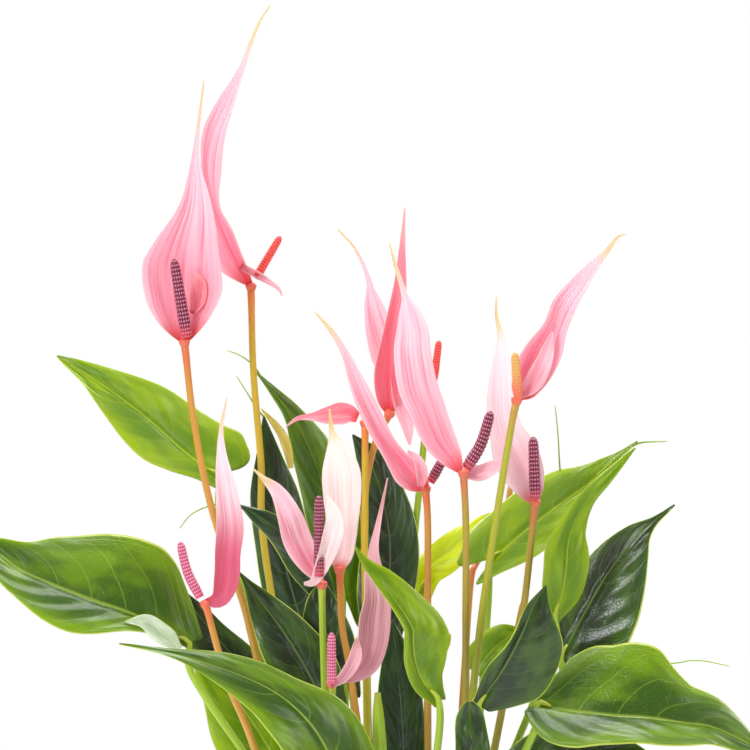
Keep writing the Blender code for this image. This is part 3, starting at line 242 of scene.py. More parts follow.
# Flowers: stem from the soil up, spathe as a leaf, spadix from base to tip with its greatest radius.
FLOWERS = {
    "flower_01": dict(
        stem=[(-33, -8, 94), (-58, -6, 209), (-65, -6, 235), (-75, -8, 265), (-82, -9, 299), (-86, -10, 333)],
        midrib=[(-86, -9, 332), (-87, -3, 353), (-86, -2, 368), (-82, -5, 388), (-81, -10, 412), (-78, -14, 437)],
        left=[(0, 1, 0), (0.03, 6, 1.5), (0.08, 11, 3), (0.15, 15, 5), (0.29, 17, 6), (0.38, 13, 5), (0.5, 7.5, 3),
              (0.66, 3, 1), (0.78, 0.9, 0.3), (1, 0.25, 0)],
        right=[(0, 1, 0), (0.03, 6, 1.5), (0.08, 11.5, 3), (0.17, 17, 5), (0.3, 16.5, 6), (0.42, 13, 5), (0.55, 7, 3),
               (0.68, 2, 1), (0.78, 0.9, 0.3), (1, 0.25, 0)],
        spadix=[(-85, -12, 335), (-90, -16, 366)], fat=2.6, look="rose", spike="purple", stalk="orange",
    ),
    "flower_02": dict(
        stem=[(-26, 10, 94), (-53, 22, 237), (-56, 24, 283), (-59, 24, 319), (-60, 25, 354)],
        midrib=[(-60, 25, 354), (-66, 25, 364), (-71, 26, 375), (-75, 26, 387), (-77.5, 26, 401), (-75, 25, 415),
                (-70, 25, 427), (-64, 24, 441), (-57, 23, 459), (-52, 21, 467)],
        left=[(0, 1, 0), (0.05, 5, 2), (0.1, 8, 2), (0.19, 9, 3), (0.3, 6, 3), (0.41, 3, 2), (0.52, 5, 2),
              (0.63, 4.5, 2), (0.76, 1.4, 0.5), (0.85, 0.8, 0), (1, 0.25, 0)],
        right=[(0, 1, 0), (0.05, 3, 2), (0.1, 4, 3), (0.19, 4.5, 4), (0.29, 2.5, 3), (0.41, 6, 4), (0.52, 5.6, 4),
               (0.63, 4, 3), (0.76, 1.4, 0.5), (0.85, 0.8, 0), (1, 0.25, 0)],
        spadix=[(-58, 23, 357), (-48, 21, 374)], fat=1.9, look="rose", spike="red", stalk="ochre",
    ),
    "flower_03": dict(
        stem=[(-11, 30, 94), (-14, 33, 233), (-14, 34, 268), (-10, 28, 290), (-4, 17, 303)],
        midrib=[(-4, 18, 302), (-5, 18, 318), (-3, 17, 335), (0, 16, 353), (1, 15, 370), (2, 15, 386)],
        left=[(0, 1, 0), (0.05, 4, 1), (0.12, 5.5, 2), (0.22, 5.8, 2), (0.4, 4.4, 2), (0.6, 3, 1), (0.8, 1.3, 0),
              (1, 0.2, 0)],
        right=[(0, 1, 0), (0.05, 4, 1), (0.12, 5.5, 2), (0.22, 6, 2), (0.4, 5, 2), (0.6, 3, 1), (0.8, 1.3, 0),
               (1, 0.2, 0)],
        spadix=[(-4, 21, 302), (-4, 25, 316)], fat=1.9, look="coral", spike="purple", stalk="orange",
    ),
    "flower_04": dict(
        stem=[(-12, 22, 94), (-14, 25, 233), (-14, 26, 261), (-14, 26, 299)],
        midrib=[(-17, 25, 300.5), (-21, 25, 302), (-27, 24, 301.5), (-34, 24, 301), (-41, 23, 300.5), (-46, 22, 297)],
        left=[(0, 2, 1), (0.2, 4.3, 3), (0.4, 3.3, 2), (0.6, 1.6, 1), (0.8, 0.8, 0), (1, 0.2, 0)],
        right=[(0, 2, -1), (0.2, 4.3, -3), (0.4, 3.3, -2), (0.6, 1.6, -1), (0.8, 0.8, 0), (1, 0.2, 0)],
        spadix=[(-14, 27, 299), (-12, 31, 306)], fat=1.4, look="coral", spike="red", stalk="ochre",
    ),
    "flower_05": dict(
        stem=[(11, -14, 94), (11, -19, 226), (11, -20, 261), (10, -20, 275)],
        midrib=[(10, -20, 274), (3, -21, 282), (-5, -22, 293), (-10, -22, 302), (-14.5, -22, 311), (-18, -21, 319),
                (-21.6, -21, 328), (-27, -20, 337), (-34, -18, 345)],
        left=[(0, 1, 0), (0.05, 5, 2), (0.12, 7, 3), (0.2, 5.8, 3), (0.28, 4.8, 3), (0.41, 4.8, 3), (0.53, 4.4, 3),
              (0.63, 3.3, 2), (0.75, 1.8, 1), (0.88, 0.9, 0), (1, 0.25, 0)],
        right=[(0, 2, 0), (0.05, 5, 3), (0.12, 6.5, 4), (0.2, 5.4, 5), (0.28, 4.8, 5), (0.41, 4.8, 4), (0.53, 4.4, 4),
               (0.63, 3.3, 3), (0.75, 1.8, 1), (0.88, 0.9, 0), (1, 0.25, 0)],
        spadix=[(12, -17, 277), (22, -15, 295)], fat=2.2, look="rose", spike="purple", stalk="orange",
    ),
    "flower_06": dict(
        stem=[(25, -17, 94), (26, -28, 191), (26, -32, 227), (26, -33, 261), (25, -33, 282)],
        midrib=[(24, -33, 282), (15, -34, 294), (10, -34, 307), (7, -34, 316), (5, -34, 329), (4.8, -33, 338),
                (2.3, -33, 350), (-2, -31, 364), (-4.4, -30, 373)],
        left=[(0, 1, 0), (0.06, 3.2, -1), (0.15, 5, -3), (0.29, 6.2, -4), (0.39, 7.2, -4), (0.53, 6.5, -4),
              (0.62, 5.6, -3), (0.7, 3.6, -2), (0.77, 1.4, 0), (0.9, 0.7, 0), (1, 0.25, 0)],
        right=[(0, 1, 0), (0.06, 4.5, -1), (0.15, 6.5, -3), (0.29, 7, -4), (0.39, 7.2, -4), (0.53, 6.5, -4),
               (0.62, 5.6, -3), (0.7, 3.6, -2), (0.77, 1.4, 0), (0.9, 0.7, 0), (1, 0.25, 0)],
        spadix=[(26, -30, 283), (32, -29, 293), (36, -28, 306)], fat=2.6, look="rose", spike="purple", stalk="bronze",
    ),
    "flower_07": dict(
        stem=[(19, -23, 94), (29, -34, 197), (35, -37, 245), (43.5, -38, 298), (46, -38, 311)],
        midrib=[(46, -37, 311), (49.5, -37, 317), (53, -36, 323), (57, -35, 331), (61, -35, 340), (64.5, -34, 348),
                (69.5, -34, 355), (75, -33, 362), (81, -33, 368.5), (86, -32, 375), (89, -32, 376)],
        left=[(0, 1, 0), (0.04, 4.5, 2), (0.08, 6.4, 4), (0.16, 8.7, 5), (0.29, 8.2, 5), (0.41, 5.6, 4),
              (0.52, 5.6, 3), (0.63, 4.2, 2), (0.74, 2.7, 1), (0.85, 1.2, 0), (0.95, 0.6, 0), (1, 0.2, 0)],
        right=[(0, 1, 0), (0.04, 5, 2), (0.08, 6.8, 4), (0.16, 8, 5), (0.29, 8, 5), (0.41, 6, 4), (0.52, 5.6, 3),
               (0.63, 4.2, 2), (0.74, 2.7, 1), (0.85, 1.2, 0), (0.95, 0.6, 0), (1, 0.2, 0)],
        spadix=[(46.5, -45, 311), (45, -48, 330)], fat=2.1, look="rose", spike="ochre", stalk="olive",
    ),
    "flower_08": dict(
        stem=[(23, -6, 94), (47, -8, 217), (50, -8, 231), (54, -8, 269)],
        midrib=[(54, -7, 268), (50, -6, 279), (46, -5, 288), (42, -5, 299), (40.5, -5, 308), (40.4, -5, 320),
                (40.4, -5, 333), (38.5, -6, 343), (38.4, -6, 351)],
        left=[(0, 1, 0), (0.04, 4.5, 1), (0.13, 8.5, 2), (0.24, 10, 3), (0.38, 7.4, 3), (0.49, 6.2, 2),
              (0.63, 4.6, 2), (0.7, 3.3, 1), (0.79, 1.5, 0), (0.9, 0.6, 0), (1, 0.2, 0)],
        right=[(0, 1, 0), (0.04, 4.5, 1), (0.13, 8, 2), (0.24, 9.5, 3), (0.38, 7, 3), (0.49, 6, 2), (0.63, 4.5, 2),
               (0.7, 3.2, 1), (0.79, 1.5, 0), (0.9, 0.6, 0), (1, 0.2, 0)],
        spadix=[(54, -11, 270), (53, -13, 295)], fat=2.6, look="pale", spike="purple", stalk="bronze",
    ),
    "flower_09": dict(
        stem=[(-34, -31, 94), (-57, -40, 171), (-68, -43, 199), (-77, -45, 231)],
        midrib=[(-78, -45, 231), (-71.5, -46, 233), (-69, -46, 241), (-68.5, -46, 251), (-67.5, -46, 261),
                (-68.5, -45, 272), (-69.6, -45, 281), (-70.5, -44, 290), (-70.6, -44, 300), (-68.4, -43, 312)],
        left=[(0, 0.8, 0), (0.04, 2.4, 1), (0.08, 3.8, 2), (0.16, 5, 2), (0.28, 5, 2), (0.4, 5.2, 2), (0.53, 4.4, 2),
              (0.64, 3.4, 1), (0.74, 2, 0), (0.86, 0.8, 0), (1, 0.2, 0)],
        right=[(0, 0.8, 0), (0.04, 2.4, 1), (0.08, 3.8, -1), (0.16, 5, -2), (0.28, 5, -2), (0.4, 5.2, -2),
               (0.53, 4.4, -2), (0.64, 3.4, -1), (0.74, 2, 0), (0.86, 0.8, 0), (1, 0.2, 0)],
        spadix=[(-79, -44, 233), (-84, -43, 243), (-87, -42, 255)],
        fat=2.2, look="blush", spike="mauve", stalk="orange",
    ),
    "flower_10": dict(
        stem=[(-26, -26, 94), (-30, -44, 199), (-31, -49, 239)],
        midrib=[(-31, -49, 239), (-37, -48, 248), (-41, -47, 256), (-44, -47, 265), (-49, -46, 275), (-58, -46, 284)],
        left=[(0, 1, 1), (0.15, 4, 3), (0.35, 5.5, 3), (0.55, 5, 3), (0.78, 2.5, 2), (0.9, 1, 0), (1, 0.25, 0)],
        right=[(0, 1, -1), (0.15, 4, -3), (0.35, 5.5, -3), (0.55, 5, -3), (0.78, 2.5, -2), (0.9, 1, 0), (1, 0.25, 0)],
        spadix=[(-32, -53, 242), (-32, -55, 274)], fat=2.3, look="rose", spike="purple", stalk="green",
    ),
    "flower_11": dict(
        stem=[(-5, -22, 94), (-19, -35, 197), (-23, -36, 221), (-24, -36, 244)],
        midrib=[(-25, -35, 243), (-23, -34, 255), (-23, -34, 264), (-23, -34, 274), (-23.5, -34, 283),
                (-25, -33, 291), (-27, -33, 298), (-28, -32, 307)],
        left=[(0, 1, 0), (0.08, 4, 1), (0.2, 5.6, 1), (0.34, 6.8, 1), (0.48, 7.6, 0), (0.62, 7.4, 0), (0.75, 4.4, 0),
              (0.85, 1.4, 0), (1, 0.25, 0)],
        right=[(0, 2, 0), (0.08, 5, 1), (0.2, 5.6, 1), (0.34, 6.8, 1), (0.48, 7.6, 0), (0.62, 7.4, 0), (0.75, 4.4, 0),
               (0.85, 1.4, 0), (1, 0.25, 0)],
        spadix=[(-23, -31, 246), (-23, -30, 266)], fat=1.6, look="cream", spike="purple", stalk="orange",
    ),
    "flower_12": dict(
        stem=[(-19, -35, 94), (-25, -56, 170), (-27, -61, 201)],
        midrib=[(-26, -62, 202), (-19, -62, 204), (-14, -61, 209), (-11.5, -61, 217), (-10.5, -60, 226),
                (-9.5, -60, 234), (-10.5, -59, 243), (-10.5, -58, 253), (-8.5, -57, 264), (-5, -56, 281)],
        left=[(0, 0.8, 0), (0.04, 1.8, 1), (0.09, 3.5, 2), (0.17, 5.8, 3), (0.27, 6.4, 3), (0.36, 6.4, 3),
              (0.45, 5.2, 2), (0.56, 3.8, 1), (0.67, 2, 0), (0.8, 1, 0), (1, 0.2, 0)],
        right=[(0, 0.8, 0), (0.04, 1.8, 1), (0.09, 3.5, -1), (0.17, 5.8, -2), (0.27, 6.4, -2), (0.36, 6.4, -2),
               (0.45, 5.2, -2), (0.56, 3.8, -1), (0.67, 2, 0), (0.8, 1, 0), (1, 0.2, 0)],
        spadix=[(-27, -66, 201), (-27, -68, 221)], fat=2.0, look="dusky", spike="mauve", stalk="green",
    ),
    "flower_13": dict(
        stem=[(-4, 27, 94), (5, 48, 235), (8, 50, 270), (12, 51, 309)],
        midrib=[(12, 52, 308), (3, 53, 312), (-4, 53, 322), (-8, 53, 334), (-11, 52, 347), (-13, 52, 357),
                (-18, 51, 368), (-25, 50, 376)],
        both=[(0, 1, 0), (0.14, 5, -2), (0.28, 6, -2), (0.42, 5.5, -2), (0.57, 3.6, -1), (0.68, 1.2, 0), (1, 0.25, 0)
              ],
        spadix=[(14, 48, 315), (16, 47, 331)], fat=1.8, look="rose", spike="red", stalk="green",
    ),
}
BUD = dict(
    stem=[(20, 31, 94), (28, 43, 222), (31, 46, 240)],
    bud=[(31, 46, 240), (39, 47, 254), (44, 47, 262), (45, 47, 275)],
)
ONE_PIECE_STEMS = ("flower_03", "flower_04", "flower_11")

# Basal lobes and folds of the spathes, as further sheets of the same flower.
LOBES = {
    "flower_01_inner_lobe": dict(
        midrib=[(-83, -10, 344), (-81, -8, 350), (-80.5, -8, 356), (-82, -9, 360)],
        left=[(0, 1, 0), (0.3, 2.6, 1), (0.6, 3, 1), (0.9, 1.6, 0), (1, 0.4, 0)],
        right=[(0, 1, 0), (0.3, 3.4, 1), (0.6, 3.6, 1), (0.9, 1.6, 0), (1, 0.4, 0)], look="coral",
    ),
    "flower_02_lobe": dict(
        midrib=[(-64, 24, 362), (-55, 21, 357), (-49, 20, 353), (-47.5, 20, 350)],
        left=[(0, 1.6, 1), (0.4, 1.6, 1), (0.8, 0.8, 0), (1, 0.2, 0)],
        right=[(0, 1.6, 0), (0.4, 1.4, 0), (0.8, 0.8, 0), (1, 0.2, 0)], look="lobe",
    ),
    "flower_03_lobe": dict(
        midrib=[(-1, 18, 318), (1, 18, 308), (3, 17, 298), (4, 17, 290)],
        both=[(0, 3, 0), (0.4, 4, 1), (0.8, 2, 0), (1, 0.3, 0)], look="lobe",
    ),
    "flower_06_lobe": dict(
        midrib=[(25, -32, 281), (32, -28, 281), (38, -27, 284), (41, -27, 286)],
        left=[(0, 1.5, -1), (0.4, 3.2, -2), (0.8, 2.4, -1), (1, 0.4, 0)],
        right=[(0, 1.5, 1), (0.4, 3.0, 2), (0.8, 2.2, 1), (1, 0.4, 0)], look="lobe",
    ),
    "flower_05_lobe": dict(
        midrib=[(8, -24, 275), (8.5, -26, 281), (7, -26, 286), (3, -25, 290)],
        left=[(0, 1, 0), (0.4, 2.4, 1), (0.8, 1.4, 0), (1, 0.3, 0)],
        right=[(0, 1, 0), (0.4, 2.6, 1), (0.8, 1.6, 0), (1, 0.3, 0)], look="lobe",
    ),
    "flower_07_lobe": dict(
        midrib=[(46, -41, 312), (51, -42, 317), (56, -42, 326), (60, -41, 338)],
        left=[(0, 1, 0), (0.3, 3.2, 1), (0.7, 2.6, 1), (1, 0.3, 0)],
        right=[(0, 1, 0), (0.3, 4.4, 1), (0.7, 3.4, 1), (1, 0.3, 0)], look="lobe",
    ),
    "flower_10_fold": dict(
        midrib=[(-38, -51, 239), (-34, -52, 240), (-31, -54, 247), (-28, -55, 256), (-26.5, -55, 265),
                (-28.5, -53, 274)],
        left=[(0, 0.6, 0), (0.12, 1.8, 0), (0.3, 2.6, 1), (0.6, 3.4, 1), (0.85, 2.2, 0), (1, 0.3, 0)],
        right=[(0, 0.6, 0), (0.12, 1.8, 0), (0.3, 3.4, -1), (0.6, 4.4, -2), (0.85, 2.6, -1), (1, 0.3, 0)],
        look="fold",
    ),
    "flower_12_lobe": dict(
        midrib=[(-27, -65, 200), (-22, -66, 204), (-18, -66, 211), (-17, -65, 219)],
        left=[(0, 1, 0), (0.3, 2.2, 1), (0.7, 2.4, 1), (1, 0.3, 0)],
        right=[(0, 1, 0), (0.3, 2.4, 1), (0.7, 2.8, 1), (1, 0.3, 0)], look="dusky",
    ),
}


# Small leaf parts that have no CAD leaf of their own, and the hair-thin ends of leaves that run past the blades.
SMALL_LEAVES = {
    "leaf_02_fold": dict(
        midrib=[(-87, -38, 212), (-94, -39, 218), (-101, -39, 223), (-109, -38, 223)],
        left=[(0, 1, 0), (0.3, 3.4, 1), (0.6, 3.2, 1), (1, 0.3, 0)],
        right=[(0, 1, 0), (0.3, 4.2, 1), (0.6, 3.4, 1), (1, 0.3, 0)], look="pale", lobe=0.0,
    ),
    "leaf_20_back": dict(
        midrib=[(30, -5, 200), (36, -5, 208), (43, -4, 214), (50, -3, 217)],
        left=[(0, 4, 0), (0.3, 8, 1), (0.7, 6, 1), (1, 0.3, 0)],
        right=[(0, 4, 0), (0.3, 7, 1), (0.7, 5, 1), (1, 0.3, 0)], look="lit", lobe=0.0,
    ),
    "leaf_dry": dict(
        midrib=[(-44, 30, 280), (-46, 31, 290), (-50, 31, 297), (-56, 31, 304)],
        both=[(0, 1, 0), (0.3, 1.8, 1), (0.7, 1.4, 0), (1, 0.2, 0)], look="straw", lobe=0.0,
    ),
}
SHEATH = [(-8, -46, 94), (-8, -49, 160), (-9, -52, 196)]
LEAF_ENDS = {
    "leaf_14_end": [(94, 28, 289), (98, 28, 290.5), (108, 27, 291)],
    "leaf_13_end": [(66, 33, 264), (65.4, 40, 274), (64.8, 40, 282), (64.2, 40, 293), (63, 40, 305)],
    "leaf_16_end": [(66, 6, 206), (90, 5, 203.5), (109, 4, 203), (115, 4, 204), (122, 4, 204), (132, 3, 202)],
    "leaf_08_end": [(-64, -19, 268), (-69, -9, 268.3), (-74, -4, 267.3), (-79, -4, 265.8), (-84, -5, 263),
                    (-88, -6, 258)],
    "leaf_07_end": [(-56, 46, 316), (-60, 46, 321.5), (-65, 46, 325), (-70, 46, 327)],
    "leaf_06_end": [(-55, 35, 300.5), (-58, 36, 304), (-61, 36, 309), (-66, 36, 317)],
}


def srgb(red, green, blue):
    """A colour as seen on a screen, 0 to 255, as linear light."""
    linear = []
    for value in (red, green, blue):
        share = value / 255
        linear.append(share / 12.92 if value <= 10 else ((share + 0.055) / 1.055) ** 2.4)
    return (*linear, 1.0)


def vectors(points):
    return [Vector(point) * MM for point in points]


def fine_path(points, steps=16):
    ends = [points[0] * 2 - points[1], *points, points[-1] * 2 - points[-2]]
    fine = []
    for i in range(len(points) - 1):
        a, b, c, d = ends[i : i + 4]
        for k in range(steps):
            t = k / steps
            bend = (2 * a - 5 * b + 4 * c - d) * t * t + (3 * b - a - 3 * c + d) * t ** 3
            fine.append(0.5 * (2 * b + (c - a) * t + bend))
    return [*fine, points[-1]]


def even_path(points, count):
    """Points at equal distances along a smooth curve through the given points, and its length."""
    fine = fine_path(points)
    lengths = [0.0]
    for before, after in zip(fine, fine[1:]):
        lengths.append(lengths[-1] + (after - before).length)
    path, j = [], 0
    for i in range(count + 1):
        wanted = lengths[-1] * i / count
        while j < len(fine) - 2 and lengths[j + 1] < wanted:
            j += 1
        share = (wanted - lengths[j]) / max(lengths[j + 1] - lengths[j], 1e-9)
        path.append(fine[j].lerp(fine[j + 1], share))
    return path, lengths[-1]


def smooth_values(stations, x):
    """The value at x on a smooth line through (x, value) stations."""
    for i in range(len(stations) - 1):
        x0, y0 = stations[i]
        x1, y1 = stations[i + 1]
        if x <= x1 or i == len(stations) - 2:
            t = min(max((x - x0) / (x1 - x0), 0), 1)
            before = stations[max(i - 1, 0)]
            after = stations[min(i + 2, len(stations) - 1)]
            m0 = (y1 - before[1]) / max(x1 - before[0], 1e-6) * (x1 - x0)
            m1 = (after[1] - y0) / max(after[0] - x0, 1e-6) * (x1 - x0)
            h = t * t * (3 - 2 * t)
            return y0 + (y1 - y0) * h + m0 * (t ** 3 - 2 * t * t + t) + m1 * (t ** 3 - t * t)
    return stations[-1][1]


def directions(path, side):
    """At each point of a path: the direction along it, across it, and square to both."""
    made, last = [], len(path) - 1
    for i in range(last + 1):
        along = (path[min(i + 1, last)] - path[max(i - 1, 0)]).normalized()
        across = along.cross(side).normalized()
        made.append((along, across, along.cross(across)))
    return made


def blade_mesh(name, leaf, rows, columns, kind):
    """A leaf or spathe as a fine sheet: UV x runs across it and UV y from the joint to the tip."""
    path, length = even_path(vectors(leaf["midrib"]), rows)
    steps = directions(path, Vector((0, 1, 0)))
    seed = sum(ord(letter) for letter in name) * 1.37
    is_leaf = kind == "leaf"
    lobe = leaf.get("lobe", 0.16 if is_leaf else 0.0)
    curl = -0.12 if is_leaf else 0.2
    wave = 1.2 if is_leaf else 0.5
    mesh = bpy.data.meshes.new(name)
    work = bmesh.new()
    uv_layer = work.loops.layers.uv.new("UVMap")
    grid = []
    for i in range(rows + 1):
        u = i / rows
        along, across, front = steps[i]
        line = []
        for j in range(columns + 1):
            v = 2 * j / columns - 1
            v = math.copysign(abs(v) ** 0.9, v)
            key, way = ("left", 1) if v < 0 else ("right", -1)
            stations = leaf.get("both") or leaf[key]
            out = smooth_values([(place, reach) for place, reach, _ in stations], u)
            fore = smooth_values([(place, reach) for place, _, reach in stations], u)
            side = (across * out * way + front * fore) * MM
            reach_mm = side.length * 1000
            inward = along.cross(side)
            inward = inward.normalized() * way if inward.length > 1e-9 else front
            bulge = abs(v) ** 1.4 * ((3.2 - 2.56 * abs(v) ** 1.2) if is_leaf else 1)
            back = lobe * length * (1 - u) ** 3 * bulge
            place = path[i] + side * abs(v) - along * back
            place += inward * curl * side.length * v * v
            lift = 0.0
            turn = seed + (2 if v < 0 else 0)
            wide = min(1, reach_mm / 6)
            if is_leaf:
                lateral = (u - VEIN_BOW * abs(v) ** VEIN_CURVE) * VEINS
                ridge = abs(lateral - round(lateral)) * 2
                inside = min(1, abs(v) * 3) * min(1, (1 - abs(v)) * 5)
                lift += 0.5 * ridge * inside * min(1, reach_mm / 10) ** 2
                lift -= 0.7 * math.exp(-((v * reach_mm / 1.3) ** 2)) * min(1, reach_mm / 5)
                lift += wave * abs(v) ** 3 * math.sin(u * 11 + turn) * wide
            else:
                pleat = math.cos(abs(v) * PLEATS * math.pi)
                lift += 0.12 * pleat * min(1, reach_mm / 9) ** 2 * (1 - abs(v)) ** 0.5
                lift -= 0.4 * math.exp(-((v * reach_mm) ** 2)) * min(1, reach_mm / 5)
                lift += wave * abs(v) ** 3 * math.sin(u * 9 + turn) * wide
            lift += 0.5 * noise.noise(Vector((u * 3, v * 1.5, seed))) * wide
            line.append(work.verts.new(place + inward * lift * MM))
        grid.append(line)
    for i in range(rows):
        for j in range(columns):
            face = work.faces.new((grid[i][j], grid[i][j + 1], grid[i + 1][j + 1], grid[i + 1][j]))
            face.smooth = True
            for loop, (a, b) in zip(face.loops, ((j, i), (j + 1, i), (j + 1, i + 1), (j, i + 1))):
                loop[uv_layer].uv = (a / columns, b / rows)
    work.to_mesh(mesh)
    work.free()
    return mesh


def add_object(name, mesh):
    item = bpy.data.objects.new(name, mesh)
    bpy.context.scene.collection.objects.link(item)
    return item


def blade(name, leaf, kind, materials):
    """A closed thin sheet: materials are for its top, its underside and its edge."""
    if kind == "leaf":
        rows, columns, thickness = LEAF_ROWS, LEAF_COLUMNS, LEAF_SHEET
    else:
        rows, columns, thickness = SPATHE_ROWS, SPATHE_COLUMNS, SPATHE_SHEET
    item = add_object(name, blade_mesh(name, leaf, rows, columns, kind))
    for material in materials:
        item.data.materials.append(material)
    shell = item.modifiers.new("thickness", "SOLIDIFY")
    shell.thickness = thickness * MM
    shell.offset = 0.0
    shell.material_offset = 1
    shell.material_offset_rim = 2
    return item


def round_body(name, grid, work, material, uv_layer=None):
    """Closes rings of vertices into a smooth body: UV y runs from its foot to its top."""
    rings, segments = len(grid) - 1, len(grid[0])
    for i in range(rings):
        for k in range(segments):
            n = (k + 1) % segments
            face = work.faces.new((grid[i][k], grid[i + 1][k], grid[i + 1][n], grid[i][n]))
            face.smooth = True
            if uv_layer:
                for loop, (a, b) in zip(face.loops, ((k, i), (k, i + 1), (k + 1, i + 1), (k + 1, i))):
                    loop[uv_layer].uv = (a / segments, b / rings)
    work.faces.new(grid[0])
    work.faces.new(list(reversed(grid[-1])))
    return finished(name, work, material)


def finished(name, work, material):
    mesh = bpy.data.meshes.new(name)
    bmesh.ops.recalc_face_normals(work, faces=work.faces)
    work.to_mesh(mesh)
    work.free()
    item = add_object(name, mesh)
    item.data.materials.append(material)
    return item


def tube(name, points, radii, material, segments=14, rings=48, ripple=0.0):
    """A round rod along a smooth path, its radii in millimetres."""
    path, _ = even_path(points, rings)
    work = bmesh.new()
    uv_layer = work.loops.layers.uv.new("UVMap")
    grid = []
    for i, (_, across, other) in enumerate(directions(path, ROD_SIDE)):
        t = i / rings
        radius = smooth_values(radii, t) * MM
        ring = []
        for k in range(segments):
            angle = 2 * math.pi * k / segments
            out = across * math.cos(angle) + other * math.sin(angle)
            swell = 1 + ripple * noise.noise(Vector((math.cos(angle), math.sin(angle), t * 12)))
            ring.append(work.verts.new(path[i] + out * radius * swell))
        grid.append(ring)
    return round_body(name, grid, work, material, uv_layer)


def spadix(name, ends, fat, material):
    """The flower spike, set with rows of small florets: the attribute floret is 1 on their tips."""
    rings, segments, columns = SPADIX_RINGS, SPADIX_SEGMENTS, FLORET_COLUMNS
    path, length = even_path(vectors(ends), rings)
    work = bmesh.new()
    floret = work.verts.layers.float.new("floret")
    rise = work.verts.layers.float.new("rise")
    grid = []
    turns = length / (fat * MM) * columns * 0.72
    for i, (_, across, other) in enumerate(directions(path, ROD_SIDE)):
        t = i / rings
        taper = (0.80 + 0.2 * min(1, t * 5)) * (1 - 0.22 * t)
        taper *= math.sqrt(max(1 - (max(t - 0.86, 0) / 0.14) ** 2, 0.0004))
        ring = []
        for k in range(segments):
            angle = 2 * math.pi * k / segments
            bump = math.cos(columns * angle + turns * t) * math.cos(columns * angle - turns * t)
            bump = max(bump, 0.0) ** 0.7
            radius = fat * MM * taper * (0.88 + 0.17 * bump)
            out = across * math.cos(angle) + other * math.sin(angle)
            vertex = work.verts.new(path[i] + out * radius)
            vertex[floret] = bump
            vertex[rise] = t
            ring.append(vertex)
        grid.append(ring)
    return round_body(name, grid, work, material)


class Tree:
    """Short calls for building a material's nodes."""

    def __init__(self, name):
        self.material = bpy.data.materials.new(name)
        self.material.use_nodes = True
        self.nodes = self.material.node_tree.nodes
        self.links = self.material.node_tree.links
        self.shader = self.nodes["Principled BSDF"]
        self.out = self.nodes["Material Output"]

    def add(self, kind, values=(), **settings):
        made = self.nodes.new(kind)
        for key, value in settings.items():
            setattr(made, key, value)
        for key, value in dict(values).items():
            self.put(made.inputs[key], value)
        return made

    def put(self, socket, value):
        if isinstance(value, bpy.types.NodeSocket):
            self.links.new(value, socket)
        else:
            socket.default_value = value

    def maths(self, operation, a, b=0.0, clamp=False):
        made = self.add("ShaderNodeMath", {0: a, 1: b}, operation=operation, use_clamp=clamp)
        return made.outputs[0]

    def ramp(self, value, low, high, start=0.0, end=1.0):
        made = self.add(
            "ShaderNodeMapRange", {0: value, 1: low, 2: high, 3: start, 4: end}, interpolation_type="SMOOTHSTEP",
        )
        return made.outputs[0]

    def mix(self, share, first, second, blend="MIX"):
        made = self.add("ShaderNodeMix", data_type="RGBA", blend_type=blend)
        self.put(made.inputs[0], share)
        self.put(made.inputs[6], first)
        self.put(made.inputs[7], second)
        return made.outputs[2]

    def noise(self, vector, scale, detail=2.0):
        made = self.add("ShaderNodeTexNoise", {"Scale": scale, "Detail": detail})
        if vector is not None:
            self.links.new(vector, made.inputs["Vector"])
        return made.outputs[0]

    def bump(self, height, distance, strength=1.0):
        made = self.add("ShaderNodeBump", {"Height": height, "Distance": distance, "Strength": strength})
        self.links.new(made.outputs[0], self.shader.inputs["Normal"])

    def glow_through(self, colour, share):
        """Lets light from behind through, as a thin leaf does."""
        through = self.add("ShaderNodeBsdfTranslucent", {"Color": colour})
        mixed = self.add("ShaderNodeMixShader")
        mixed.inputs[0].default_value = share
        self.links.new(self.shader.outputs[0], mixed.inputs[1])
        self.links.new(through.outputs[0], mixed.inputs[2])
        self.links.new(mixed.outputs[0], self.out.inputs[0])

    def sheet_places(self):
        """The UV, the distance from the midrib (0 to 1 at the edge) and the place from joint to tip."""
        uv = self.add("ShaderNodeUVMap", uv_map="UVMap").outputs[0]
        parts = self.add("ShaderNodeSeparateXYZ", {0: uv})
        signed = self.maths("MULTIPLY_ADD", parts.outputs[0], 2.0)
        signed.node.inputs[2].default_value = -1.0
        return uv, self.maths("ABSOLUTE", signed), parts.outputs[1]

    def stretched_noise(self, uv, across, along, detail):
        mapping = self.add("ShaderNodeMapping", {"Scale": (across, along, 1.0)})
        self.links.new(uv, mapping.inputs[0])
        return self.noise(mapping.outputs[0], 1.0, detail)


